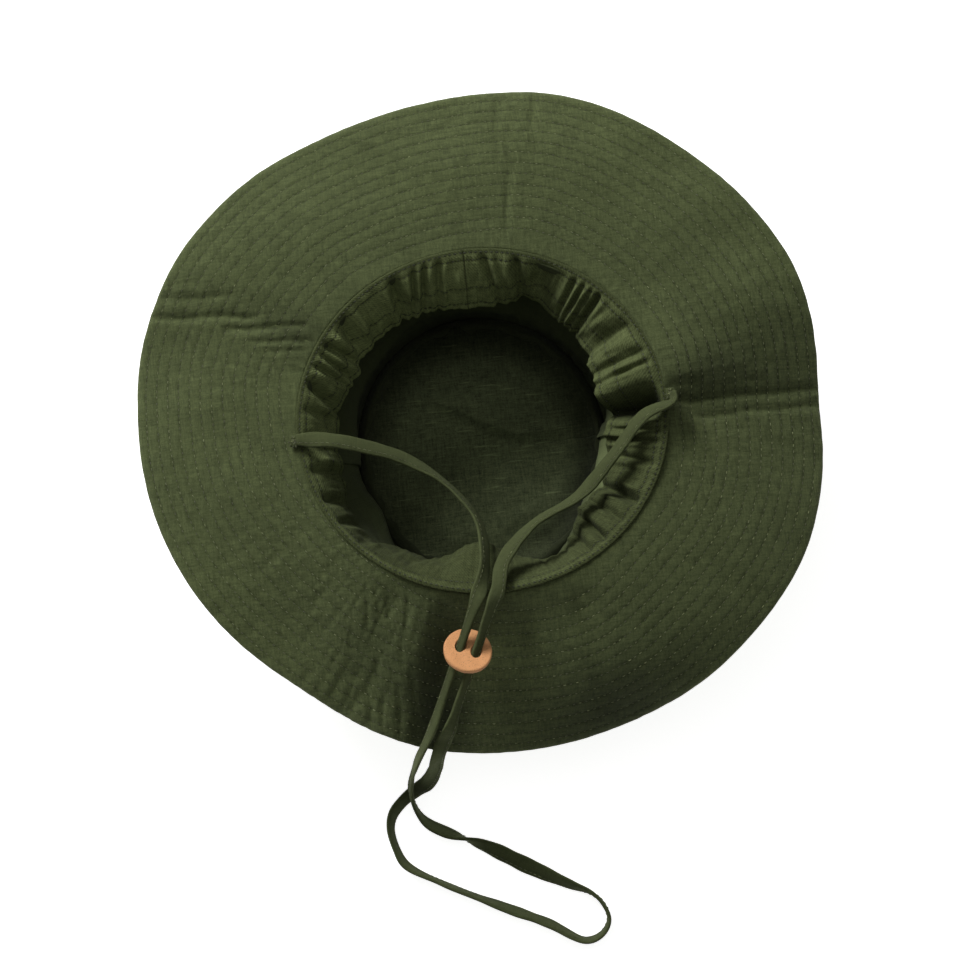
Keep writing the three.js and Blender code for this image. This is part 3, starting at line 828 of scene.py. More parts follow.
def band_surface():
    """The sweatband's face from the flange's edge, over the brim seam, to the free edge."""
    degrees = np.linspace(0, 360, BAND_STEPS, endpoint=False)[:, None]
    length = FLANGE + BAND_TURN + BAND_WIDTH
    free_edge = length - np.array([2.2, 1.2, 0.5, 0.0])
    v = np.concatenate([np.linspace(0, 8, 13), np.linspace(8, length - 3, 26)[1:], free_edge])
    reach = BAND_REACH + swells(BAND_LEANS, degrees) + FLANGE
    angle = np.degrees(np.arccos(reach / (length + 1.0)))
    brim = BRIM_SLOPE + swells(BRIM_FOLDS, degrees)
    past = v[None, :] - FLANGE - BAND_TURN
    hop = np.diff(v)[None, :]
    for _ in range(8):
        heading = band_fall(angle, brim, past)
        middle = (heading[:, 1:] + heading[:, :-1]) / 2
        over = np.sum(hop * np.cos(middle), 1, keepdims=True) - reach
        angle = angle + np.degrees(over / length / np.sin(np.radians(np.clip(angle, 20, 90))))
    zero = np.zeros((BAND_STEPS, 1))
    start = rim_radius(degrees) + WALL_THICKNESS + RIM_GAP + FLANGE * np.cos(np.radians(brim))
    radius = start - np.concatenate([zero, np.cumsum(hop * np.cos(middle), 1)], 1)
    lift = 0.25
    z = RIM_Z - FLANGE * np.sin(np.radians(brim)) + lift + BAND_THICKNESS / 2
    z = z - np.concatenate([zero, np.cumsum(hop * np.sin(middle), 1)], 1)
    grid = polar(radius, degrees, z)
    facing = -grid_normals(grid)
    inner = smoothstep(past / 16)
    quiet = 1 - 0.85 * np.exp(-((away_from(degrees, PLAIN_FRONT[0]) / PLAIN_FRONT[1]) ** 4))
    panel = 1 - 0.9 * np.exp(-((away_from(degrees, 90) / 4.5) ** 4))
    turn = np.radians(degrees)
    stray = 2.2 * wobble(degrees, 0 * degrees, 40, 61)
    pleat = np.abs(np.sin(GATHERS / 2 * turn + stray)) ** 0.7 - 0.55
    uneven = 0.25 + 0.75 * smoothstep(0.5 + 0.5 * wobble(degrees, 0 * degrees, 22, 62))
    gather = 0.6 * pleat * uneven * (1 - 0.5 * smoothstep((past - 20) / 15))
    arc = turn * BAND_ROUND
    fine = 0.22 * wobble(arc, past * 0.35, 5.5, 63) + 0.35 * wobble(arc, past * 0.5, 14, 64)
    folds = 0.0
    for at_seam, at_edge, half, depth in BAND_FOLDS:
        line = at_seam + (at_edge - at_seam) * np.clip(past / BAND_WIDTH, 0, 1)
        away = np.abs(away_from(degrees, line)) / half
        folds = folds - depth * (np.exp(-(away ** 1.5)) - 0.3 * np.exp(-(((away - 2.3) / 1.1) ** 2)))
    taper = 1 - 0.62 * smoothstep((past - 14) / (BAND_WIDTH - 14))
    relief = inner * quiet * panel * gather + inner * fine + folds * taper * smoothstep((past + 0.5) / 8)
    for at_seam, at_edge, half, depth in BAND_GULLIES:
        away = away_from(degrees, at_seam + (at_edge - at_seam) * np.clip(past / BAND_WIDTH, 0, 1)) / half
        relief = relief - depth * np.exp(-(np.abs(away) ** 2.5)) * smoothstep((past - 1) / 12)
    grid = grid + facing * relief[..., None]
    return degrees, grid, past


band_degrees, band_face, band_past = band_surface()
band_normal = -grid_normals(band_face)


def make_sweatband():
    hem = BAND_WIDTH - band_past
    rows = [0.0, 4.0, BAND_WIDTH - 4.0, BAND_WIDTH - 14.0]
    near = sum(np.exp(-(((band_past - row) / 0.6) ** 2)) for row in rows)
    holes = 0.5 + 0.5 * np.sign(np.sin(np.radians(band_degrees) * BAND_ROUND * TAU / SEAM_STITCH))
    slack = 1 - 0.8 * np.exp(-((away_from(band_degrees, PLAIN_FRONT[0]) / PLAIN_FRONT[1]) ** 4))
    dip = 0.22 * near * slack
    rounding = 0.6 * rounded(hem, 1.2)
    seam = np.exp(-((away_from(band_degrees, 90.0) / 0.28) ** 2)) * smoothstep((band_past + 6) / 3)
    face = band_face - band_normal * (dip + rounding + 0.7 * seam)[..., None]
    back_columns = np.linspace(band_face.shape[1] - 1, 0, 24).astype(int)
    back = (band_face - band_normal * (BAND_THICKNESS - rounding * 0.7)[..., None])[:, back_columns]
    # painted light and shade from the listed patches, and painted shade on the flange and turn at the seam
    painted_light_and_shade = 1 + swells(BAND_PAINTED_LIGHT_AND_SHADE, band_degrees) * smoothstep(band_past / 3) - 0.25 * (band_past < -0.4)
    # painted shade along the sunk stitch rows, in dashes at the needle holes, and darker along the seam at
    # the back
    shade = (1 - (0.20 + 0.45 * holes) * near * slack) * (1 - 0.6 * seam) * painted_light_and_shade
    section = np.concatenate([face, back], 1)
    shades = np.concatenate([shade, np.ones(back.shape[:2])], 1)
    piece = ring_piece("sweatband_cloth", section, band_cloth, shades)
    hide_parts("sweatband")
    make_band_stitching(face)
    make_elastic()


def band_line(face, past):
    """The face and its normals at a distance past the seam."""
    column = int(np.argmin(np.abs(band_past[0] - past)))
    return np.concatenate([face[:, column], band_normal[:, column]], 1)


def elastic_stretch():
    """The steps round the band that the elastic holds, in order."""
    away = away_from(band_degrees[:, 0], ELASTIC_MIDDLE)
    order = np.argsort(away)
    return order[np.abs(away[order]) < ELASTIC_HALF]


def make_band_stitching(face):
    around = [band_line(face, past) for past in (0.0, 4.0)]
    # These stitches use the darker thread, painted shade for their sunk pits.
    stitch_piece("sweatband_seam_stitching", around, thread_in_painted_shade, pitch=SEAM_STITCH, cover=0.6, seed=53,
                 width=0.5)
    held = elastic_stretch()
    partial = [band_line(face, BAND_WIDTH - hem)[held] for hem in (4, 14)]
    stitch_piece("sweatband_elastic_stitching", partial, thread_in_painted_shade, pitch=3.0, closed=False, seed=54,
                 width=0.4)


def make_elastic():
    held = elastic_stretch()
    hem = BAND_WIDTH - band_past[0]
    columns = np.flatnonzero((hem < 15) & (hem > 2.5))
    front = (band_face - band_normal * 1.6)[held][:, columns]
    rear = (band_face - band_normal * 2.5)[held][:, columns]
    flat = np.stack(np.broadcast_arrays(band_degrees[held] * 1.3, band_past[0, columns][None, :], 0.0), -1)
    tape = slab_piece("sweatband_elastic_tape", front, rear, elastic, flat)
    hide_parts("sweatband_elastic")


make_sweatband()

# ---- crown ----------------------------------------------------------------------------------

# A soft pushed-up crease across the crown tip, as (x, y, height) in mm.
TIP_CREASE = [
    (-46, 33, 0.0), (-28, 31, 4.0), (-12, 23, 6.0), (4, 13, 6.6), (20, 6, 5.8), (38, 6, 3.4),
    (54, 9, 0.0),
]
TIP_MARGIN = 6.0  # the slack round the tip stands up in a soft roll inside the seam
TIP_ROUND = 74.0  # mean radius at the tip's seam
# (direction, spread, height, spread, mm inwards): where the soft wall has slumped in.
DENTS = [
    (-17, 24, 19, 13, 17.0), (30, 14, 20, 12, 2.0), (172, 18, 18, 13, 8.0), (205, 17, 21, 13, 9.0),
    (243, 15, 16, 11, 3.0), (300, 17, 17, 12, 4.0), (100, 20, 24, 14, 3.0),
]
SIDE_SEAMS = (0, 180)
VENTS_AT, VENT_HEIGHT = (-12, 12, 168, 192), 46
VENT_NODES = ["right_front", "right_back", "left_back", "left_front"]
VENT_HOLE = 3.3  # radius of the hole in the wall


def crease_height(x, y):
    route = np.array(TIP_CREASE, float)
    best = np.full(np.shape(x), 1e9)
    height = np.zeros(np.shape(x))
    for a, b in zip(route[:-1], route[1:]):
        span = b[:2] - a[:2]
        t = np.clip(((x - a[0]) * span[0] + (y - a[1]) * span[1]) / (span @ span), 0, 1)
        side = np.sign((x - a[0]) * span[1] - (y - a[1]) * span[0])
        away = np.hypot(x - a[0] - t * span[0], y - a[1] - t * span[1])
        reach = np.where(side > 0, 3.6, 17.0)
        here = (a[2] + t * (b[2] - a[2])) * np.exp(-((away / reach) ** 1.3))
        height = np.where(away < best, here, height)
        best = np.minimum(best, away)
    return height


def tip_lift(x, y):
    """How far the crown tip's cloth stands off the floor."""
    share = np.hypot(x / TIP_X, y / TIP_Y)
    inside = smoothstep((1 - share) * 6)
    ripple = 0.9 + 1.0 * wobble(x, y, 46, 71) + 0.3 * wobble(x, y, 15, 72)
    turn = np.degrees(np.arctan2(y, x))
    uneven = 0.75 + 0.25 * wobble(turn, 0 * turn, 50, 73)
    margin = TIP_MARGIN * np.exp(-(((share - 0.91) / 0.06) ** 2)) * uneven
    slack = inside * (np.maximum(0.0, ripple) + crease_height(x, y))
    return 0.05 + slack + smoothstep((1 - share) * 25) * margin


def make_tip():
    degrees = np.linspace(0, 360, 361)[:, None]
    share = np.concatenate([[0.0002], np.linspace(0.02, 1, 78)])[None, :]
    edge_radius = oval(TIP_X, TIP_Y, degrees)
    flat_disc = polar(edge_radius * share, degrees, 0.0)
    raised = flat_disc.copy()
    raised[..., 2] = tip_lift(flat_disc[..., 0], flat_disc[..., 1])
    top = raised + np.array([0, 0, TIP_THICKNESS - 0.1])
    # painted light on the middle of the tip, and painted shade towards its edge, most at the back and the
    # right front, where the wall and band shade it
    painted_light = 0.4 * np.exp(-(((flat_disc[..., 0] + 12) / 34) ** 2 + ((flat_disc[..., 1] - 22) / 24) ** 2))
    painted_shade = 0.50 + 0.26 * np.sin(np.radians(degrees)) + swells([(-32, 34, 0.52)], degrees)
    shade = 1.08 + painted_light - painted_shade * smoothstep((share - 0.60) / 0.28)
    piece = slab_piece("crown_tip_cloth", top, raised, tip_cloth, flat_disc, shade=shade)
    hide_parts("crown_tip")


def across_wall(degrees, at):
    """Roughly how many mm round the crown wall from a direction."""
    return away_from(degrees, at) * 1.5


def seam_ridge(degrees):
    """The felled side seams stand out a little."""
    return sum(0.7 * np.exp(-(across_wall(degrees, at) ** 2 / 9)) for at in SIDE_SEAMS)


def wall_relief(degrees, z):
    """How the soft crown wall strays from its pattern: long slumped folds and small wrinkles."""
    arc = np.radians(degrees) * WALL_ROUND
    hold = smoothstep(z / 14) * smoothstep((88 - z) / 14)
    band = 1 - 0.75 * smoothstep((z - 52) / 6) * smoothstep((82 - z) / 5)
    vent = sum(np.exp(-((across_wall(degrees, at) / 13) ** 2 + ((z - VENT_HEIGHT) / 13) ** 2))
               for at in VENTS_AT)
    seam = sum(np.exp(-((across_wall(degrees, at) / 7) ** 2)) for at in SIDE_SEAMS)
    calm = np.clip(1 - 0.8 * vent - 0.6 * seam, 0.1, 1)
    long = 1.5 * wobble(arc * 0.7, z * 1.3, 62, 81) + 0.35 * wobble(arc * 0.7, z * 1.6, 26, 82)
    slump = sum(deep * np.exp(-((away_from(degrees, at) / wide) ** 2 + ((z - middle) / tall) ** 2))
                for at, wide, middle, tall, deep in DENTS)
    return hold * band * calm * (long + 0.05 * wobble(arc, z, 8, 83)) - hold * slump


def tip_puckers(degrees, z):
    arc = np.radians(degrees) * TIP_ROUND
    return 0.35 * wobble(arc, z * 0.3, 6.5, 84) * np.exp(-(((z - 5) / 7) ** 2))


def make_wall(name, start, node):
    steps, levels = 300, 84
    degrees = np.linspace(start + 0.15, start + 179.85, steps)[:, None]
    low = TIP_THICKNESS + 0.1
    z = np.linspace(low, WALL_TOP, levels)[None, :]
    radius = wall_radius(degrees, z) + wall_relief(degrees, z) + tip_puckers(degrees, z)
    tuck = 2.2 * rounded(z - low, 3.5)
    outer = polar(radius + WALL_THICKNESS - tuck + seam_ridge(degrees), degrees, z)
    inner = polar(radius - tuck * 0.6, degrees, z)
    kept = np.ones((steps - 1, levels - 1), bool)
    arc = np.radians(degrees) * WALL_ROUND
    for vent in VENT_NODES:
        lowest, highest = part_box(f"vent_eyelet_{vent}")
        centre = np.array((lowest + highest) / 2) / MM
        turn = away_from(degrees, math.degrees(math.atan2(centre[1], centre[0]))) * math.pi / 180
        gone = np.hypot(turn * np.hypot(centre[0], centre[1]), z - centre[2]) < VENT_HOLE
        kept &= ~(gone[1:, 1:] | gone[:-1, :-1] | gone[1:, :-1] | gone[:-1, 1:])
    flat = np.stack(np.broadcast_arrays(arc, z, 0.0), -1)
    # painted shade low on the wall, where it meets the tip, and painted light on the right front of the
    # wall
    painted_shade = 0.55 + 0.45 * smoothstep((z - low) / 16)
    painted_light = 1 + 1.4 * np.exp(-((away_from(degrees, -12) / 20) ** 2))
    shade = (1 + 0.03 * wobble(arc, z, 30, 85)) * painted_shade * painted_light
    piece = slab_piece(name, outer, inner, wall_cloth, flat, kept, shade)
    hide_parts(node)


def wall_line(at, z):
    """Points of the wall's outer face with the ways they face, for stitching."""
    at, z = np.broadcast_arrays(np.asarray(at, float), np.asarray(z, float))
    radius = wall_radius(at, z) + wall_relief(at, z) + tip_puckers(at, z) + WALL_THICKNESS
    return np.concatenate([polar(radius + seam_ridge(at), at, z), polar(np.ones(at.shape), at, 0.15)], -1)


def lifted(points, height):
    return points + np.stack([0 * height, 0 * height, height], -1)


def make_tip_seam():
    degrees = np.linspace(0, 360, 360, endpoint=False)[:, None]
    outer_edge = oval(TIP_X, TIP_Y, degrees) - 2.2
    arc = np.radians(degrees) * 70
    across = np.linspace(0, 1, 9)[None, :] * (6.0 + 0.8 * wobble(arc, 0 * arc, 16, 92))
    flat_ring = polar(outer_edge - across, degrees, 0.0)
    lift = TIP_THICKNESS + tip_lift(flat_ring[..., 0], flat_ring[..., 1])
    lift = lift + 0.12 * np.abs(wobble(arc, across, 7, 91)) * across / 8
    fray = 0.45 * (1 - smoothstep((across[:, -1:] - across) / 2.5))
    top = lifted(flat_ring, lift + 0.75 - fray)
    under = lifted(flat_ring, lift)[:, ::-1]
    # The allowance is painted darker all round: painted shade, like the tip's shaded edge.
    allowance = ring_piece("crown_tip_seam_allowance", np.concatenate([top, under], 1), seam_cloth,
                           shade=np.full((360, 18), 0.42))
    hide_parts("crown_tip_seam")


def make_side_seams():
    z = np.linspace(4.5, 59, 56)[:, None]
    across = np.linspace(-5, 5, 17)[None, :]
    fold = 0.18 * np.cos(across * TAU / 6.4)
    for side, middle in (("left", 180.0), ("right", 0.0)):
        turn = middle + np.degrees(across / WALL_ROUND)
        radius = wall_radius(turn, z) + wall_relief(turn, z) - 0.25
        face = polar(radius - 1.0 + fold, turn, z)
        back = polar(radius, turn, z)
        flat = np.stack(np.broadcast_arrays(z, turn * 1.46, 0.0), -1)
        tape = slab_piece(f"crown_side_seam_tape_{side}", face, back, seam_cloth, flat)
        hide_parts(f"crown_side_seam_{side}")


def make_crown_stitching():
    heights = np.linspace(5, 84, 60)
    rows = [wall_line(side + np.degrees(off / WALL_ROUND), heights)
            for side in SIDE_SEAMS for off in (-3.2, 3.2)]
    stitch_piece("crown_side_stitching", rows, closed=False, seed=55)
    round_way = np.linspace(0, 360, 720, endpoint=False)
    stitch_piece("crown_tip_stitching", [wall_line(round_way, z) for z in (7.0, 3.6)], seed=56)


make_tip()
make_wall("crown_back_cloth", 0.0, "crown_side_back")
make_wall("crown_front_cloth", 180.0, "crown_side_front")
make_tip_seam()
make_side_seams()
make_crown_stitching()

# ---- branch loop band -----------------------------------------------------------------------

LOOP_COUNT, LOOP_STAND, LOOP_THICKNESS, LOOP_GAP = 12, 2.2, 1.2, 0.5
LOOP_ROUND = 88.0  # mean radius of the loop band
LOOP_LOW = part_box("branch_loop_band")[0].z / MM
LOOP_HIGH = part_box("branch_loop_band")[1].z / MM


def off_tack(degrees):
    """0 at a bar tack and 1 midway between two."""
    return np.abs(np.sin(np.radians(LOOP_COUNT * degrees / 2)))


def loop_radius(degrees, z):
    """The loop band's inner face, bowed out between the bar tacks."""
    bow = LOOP_STAND * off_tack(degrees) ** 0.8
    return wall_radius(degrees, z) + WALL_THICKNESS + LOOP_GAP + bow


def make_loops():
    degrees = np.linspace(0, 360, 720, endpoint=False)[:, None]
    z = np.linspace(LOOP_LOW, LOOP_HIGH, 13)[None, :]
    selvedge = sum(0.12 * np.exp(-(((z - edge) / 1.2) ** 2)) for edge in (LOOP_LOW, LOOP_HIGH))
    inner = loop_radius(degrees, z) + 0.15 * wobble(degrees, z, 9, 93)
    sink = 0.35 * np.exp(-((off_tack(degrees) / 0.09) ** 2))
    outer_face = polar(inner + LOOP_THICKNESS + selvedge - sink, degrees, z)
    inner_face = polar(inner, degrees, z)[:, ::-1]
    shade = 1 + 0.05 * wobble(degrees, z, 12, 94)
    shades = np.concatenate([shade, np.ones(inner_face.shape[:2])], 1)
    section = np.concatenate([outer_face, inner_face], 1)
    band = ring_piece("branch_loops", section, webbing, shades)
    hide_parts("branch_loop_band")


def make_bar_tacks():
    heights = np.linspace(LOOP_LOW + 1.2, LOOP_HIGH - 1.2, 26)
    tacks = []
    for k in range(LOOP_COUNT):
        for off in (-0.55, 0.0, 0.55):
            turn = 360.0 * k / LOOP_COUNT + np.degrees(off / LOOP_ROUND)
            line = polar(loop_radius(turn, heights) + LOOP_THICKNESS - 0.15, turn, heights)
            facing = polar(np.ones(26), turn, 0.15)
            tacks.append(np.concatenate([line, facing], -1))
    stitch_piece("branch_loop_bar_tacks", tacks, closed=False, pitch=1.1, cover=0.95, seed=57)


make_loops()
make_bar_tacks()

# ---- vent eyelets ---------------------------------------------------------------------------


def turned_points(profile, segments=40):
    """A closed profile of (radius, height) turned round the local Z axis."""
    turn = np.linspace(0, TAU, segments, endpoint=False)[:, None]
    profile = np.array(profile)
    return np.stack(np.broadcast_arrays(profile[:, 0] * np.cos(turn), profile[:, 0] * np.sin(turn),
                                        profile[:, 1]), -1)


def into_wall(points, at, z):
    """Stands a piece made round Z in the crown wall, its +Z facing out of the hat."""
    lean = math.atan(wall_radius(at, z + 0.5) - wall_radius(at, z - 0.5))
    a = math.radians(at)
    facing = np.array([math.cos(a) * math.cos(lean), math.sin(a) * math.cos(lean), -math.sin(lean)])
    sideways = np.array([-math.sin(a), math.cos(a), 0.0])
    upward = np.cross(facing, sideways)
    middle = polar(wall_radius(at, z) + WALL_THICKNESS / 2, at, z)
    return middle + points[..., :1] * sideways + points[..., 1:2] * upward + points[..., 2:] * facing


def make_eyelets():
    bore, barrel, flange, face = 2.5, 3.2, 6.4, 1.05  # three radii, and the height of the outer face
    dome = [math.radians(t) for t in np.linspace(0, 180, 11)]
    middle = (bore + flange) / 2
    half = (flange - bore) / 2
    outside = [(middle + half * math.cos(t), face + 0.95 * math.sin(t)) for t in dome]
    tube = [(bore, 0.0), (bore, -2.1), (bore + 0.25, -2.35), (barrel, -2.2), (barrel, face)]
    washer = [
        (barrel + 0.35, -1.95), (barrel + 0.5, -2.05), (6.0, -2.05), (6.4, -1.85), (6.4, -1.3),
        (6.2, -1.1), (barrel + 0.35, -1.1),
    ]
    for vent in VENT_NODES:
        lowest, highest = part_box(f"vent_washer_{vent}")
        centre = (lowest + highest) / 2 / MM
        at, z = math.degrees(math.atan2(centre.y, centre.x)), centre.z
        for kind, profile in (("eyelet", outside + tube), ("washer", washer)):
            points = into_wall(turned_points(profile), at, z)
            piece = ring_piece(f"vent_{kind}_{vent}_metal", points, eyelet_paint)
            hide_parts(f"vent_{kind}_{vent}")


make_eyelets()

# ---- chin strap -----------------------------------------------------------------------------

heading, fall = math.radians(RUN_HEADING), math.radians(RUN_FALL)
ALONG = np.array([
    -math.sin(heading) * math.cos(fall), -math.cos(heading) * math.cos(fall), -math.sin(fall),
])
ACROSS = np.array([math.cos(heading), -math.sin(heading), 0.0])
RUN_MIDDLE = np.array([-21.0, -118.0, 85.0])  # the slider's middle, halfway between the two runs
ROUTE_STEPS, STRAP_STEP = 24, 1.4  # samples from point to point, and then mm from ring to ring


def straight_run(side):
    return [RUN_MIDDLE + ALONG * distance + ACROSS * side * PAIR / 2 for distance in (-27, -13, 28, 42)]


STRAP_ROUTE = np.array([
    (-96.2, -0.6, 88.9), (-80, -3, 91), (-64, -7, 87), (-42, -15, 79), (-22, -30, 75),
    (-8, -52, 78), (-7.5, -75, 88.5), (-10.5, -86, 92),
    *straight_run(-1),
    (-46, -158, 64.5), (-53.5, -169, 52), (-57, -175, 28), (-59, -181.5, 15.5),
    (-58.5, -187.5, 8.5), (-56.5, -193, 5), (-52, -199, 3.5), (-43.5, -204.5, 3),
    (-22.5, -214.5, 3), (-0.5, -228, 3), (20.5, -240, 3), (30, -245, 3), (35.5, -251, 3),
    (38, -260, 3), (33.5, -267, 3), (24.5, -269.5, 3), (6, -258.5, 3), (-17.5, -247, 3),
    (-47.5, -231.5, 3), (-66, -219.5, 3), (-70, -211, 3), (-72, -200, 3), (-70, -192.5, 3),
    (-64, -186, 3),
    (-58, -182, 4), (-50, -178.5, 18), (-44.5, -172.5, 40), (-41.5, -166.5, 60), (-38, -160, 64.5),
    *straight_run(1)[::-1],
    (-2.5, -90, 92.5), (2, -75, 87.5), (20, -56, 77.5), (45, -44, 78), (64, -27, 85),
    (83, -8, 91), (98.3, -2.2, 90.4), (98.4, 3.6, 88.8),
])
# (place along the route by point number, degrees): 0 lies flat, 90 stands on its edge.
ROLLS = [
    (0, 0), (1, 20), (2, 22), (3, 38), (3.5, 54), (4, 66), (5, 70), (6, 56), (7, 26), (8, -18), (9, -34),
    (10, -40), (11, -54), (12, -63), (13, -70), (14, -76), (15, -82), (16, -98), (17, -106), (18, -124),
    (19, -126), (19.3, -112), (19.5, -90), (19.75, -60), (20, -38), (20.5, -20), (21, -26), (21.5, -38),
    (22, -60), (23, -78), (24, -90), (25, -92), (26, -84), (27, -68), (27.5, -60), (28, -55), (28.5, -62),
    (29, -70), (30, -76), (30.5, -70), (31, -64), (32, -74), (33, -75), (34, -68), (35, -56), (36, -36),
    (37, -33), (38, -38), (40, -36), (43, -36), (44, -34), (45, -10), (46, 34), (47, 50), (48, 47),
    (49, 32), (50, 38), (51, 60), (52, 80),
]
WIDTHS = [
    (0, 5.5), (0.45, 8.0), (2, 8.4), (7, 8.2), (8, 7.4), (9, STRAP_AT_SLIDER), (10, STRAP_AT_SLIDER),
    (11, 7.4), (12, 8.8), (40, 8.8), (41, 7.4), (42, STRAP_AT_SLIDER), (43, STRAP_AT_SLIDER),
    (44, 7.2), (45, 7.6), (50.3, 8.2), (51, 6), (52, 4.5),
]


def curve_span(a, b, c, d):
    """From b towards c on a centripetal Catmull-Rom curve."""
    lengths = [max(np.linalg.norm(v - u), 1e-6) for u, v in ((a, b), (b, c), (c, d))]
    knots = np.cumsum([0.0] + [length ** 0.5 for length in lengths])
    t = np.linspace(knots[1], knots[2], ROUTE_STEPS, endpoint=False)[:, None]

    def mix(u, v, low, high):
        return (u * (knots[high] - t) + v * (t - knots[low])) / (knots[high] - knots[low])

    ab, bc, cd = mix(a, b, 0, 1), mix(b, c, 1, 2), mix(c, d, 2, 3)
    return mix(mix(ab, bc, 0, 2), mix(bc, cd, 1, 3), 1, 2)


def smooth_route(points):
    """A smooth curve through the points, and where each sample lies between them."""
    before = 2 * points[0] - points[1]
    after = 2 * points[-1] - points[-2]
    p = np.concatenate([[before], points, [after]])
    line, place = [], []
    for k in range(len(points) - 1):
        line.append(curve_span(*p[k:k + 4]))
        place.append(k + np.linspace(0, 1, ROUTE_STEPS, endpoint=False))
    line.append(points[-1:])
    place.append([len(points) - 1.0])
    return np.concatenate(line), np.concatenate(place)


def keyed(place, keys):
    numbers = np.array(keys, float)
    return np.interp(place, numbers[:, 0], numbers[:, 1])


def blurred(values, reach):
    window = np.hanning(2 * reach + 1)
    padded = np.concatenate([np.full(reach, values[0]), values, np.full(reach, values[-1])])
    return np.convolve(padded, window / window.sum(), "valid")


def strap_line():
    """The tape's centres, the ways its width and its face point, its width, thickness and run."""
    line, place = smooth_route(STRAP_ROUTE)
    line = resample(np.concatenate([line, place[:, None]], 1), STRAP_STEP)
    centre, place = line[:, :3], line[:, 3]
    roll = np.radians(blurred(keyed(place, ROLLS), 5))
    width = blurred(keyed(place, WIDTHS), 4)
    thick = STRAP_THICKNESS + 0.5 * (STRAP_WIDTH - width) / (STRAP_WIDTH - STRAP_AT_SLIDER)
    run = np.arange(len(centre)) * STRAP_STEP
    roll = roll + 0.10 * wobble(run, 0 * run, 40, 101) * smoothstep((width - 6) / 2)
    half_height = np.abs(np.sin(roll)) * width / 2 + np.abs(np.cos(roll)) * thick / 2
    centre[:, 2] = np.maximum(centre[:, 2], half_height + 0.35)
    ahead = unit(np.gradient(centre, axis=0))
    course = np.stack([blurred(centre[:, 0], 9), blurred(centre[:, 1], 9)], 1)
    course = unit(np.gradient(course, axis=0))
    level = np.stack([course[:, 1], -course[:, 0], 0 * run], 1)
    level = unit(level - ahead * np.sum(level * ahead, 1, keepdims=True))
    up = np.cross(level, ahead)
    wide = level * np.cos(roll)[:, None] + up * np.sin(roll)[:, None]
    face = up * np.cos(roll)[:, None] - level * np.sin(roll)[:, None]
    return centre, wide, face, width, thick, run


def make_strap():
    centre, wide, face, width, thick, run = strap_line()
    turn = np.linspace(0, TAU, 20, endpoint=False)
    c, s = np.cos(turn), np.sin(turn)
    x = np.sign(c) * np.abs(c) ** 0.55
    y = np.sign(s) * np.abs(s) ** 0.75
    dent = 1 - 0.16 * np.exp(-(((x - 0.55) / 0.16) ** 2)) * np.abs(s)
    edge_wave = 1 + 0.03 * wobble(run, 0 * run, 9, 102)
    section = (centre[:, None] + wide[:, None] * (x * (width * edge_wave)[:, None] / 2)[..., None] +
               face[:, None] * (y * dent * thick[:, None] / 2)[..., None])
    steps, corners = section.shape[:2]
    i = np.arange(steps - 1)[:, None]
    j = np.arange(corners)[None, :]
    beside = (j + 1) % corners
    here, ahead = i * corners, (i + 1) * corners
    faces = np.stack([here + j, ahead + j, ahead + beside, here + beside], -1)
    caps = []
    for first in (0, (steps - 1) * corners):
        for k in range(corners // 2 - 1):
            quad = [first + k, first + k + 1, first + corners - 2 - k, first + corners - 1 - k]
            caps.append(quad if first == 0 else quad[::-1])
    faces = np.concatenate([faces.reshape(-1, 4), np.array(caps)])
    flat_points = np.stack(np.broadcast_arrays(run[:, None], x * 4.5 + 20 * (s < 0), 0.0), -1)
    flat_points = flat_points.reshape(-1, 3)
    # paler along the folded edges, and painted shade in the dent along the stitching
    shade = 1 + 0.06 * (np.abs(x) > 0.95) - 0.12 * np.exp(-(((x - 0.55) / 0.12) ** 2))
    shade = shade * np.ones((steps, 1))
    strap = make_piece("chin_strap_tape", section.reshape(-1, 3), faces, strap_cloth,
                       flat=flat_points[faces].reshape(-1, 3), shade=shade.ravel())
    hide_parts("chin_strap")
    lines = []
    for way in (1.0, -1.0):
        spot = centre + wide * (0.55 * width / 2)[:, None] + face * way * (thick * 0.47)[:, None]
        lines.append(np.concatenate([spot, face * way], 1))
    stitching = stitch_piece("chin_strap_stitching", lines, closed=False, pitch=2.8, width=0.34,
                             height=0.22, seed=58)
    length = float(np.sum(np.linalg.norm(np.diff(centre, axis=0), axis=1))) * MM
    return strap, stitching, centre, length


END_SINK = 1.9  # the sewn ends rest on the brim seam
END_TRIM = np.array([0.62, 0.62, 0.8])


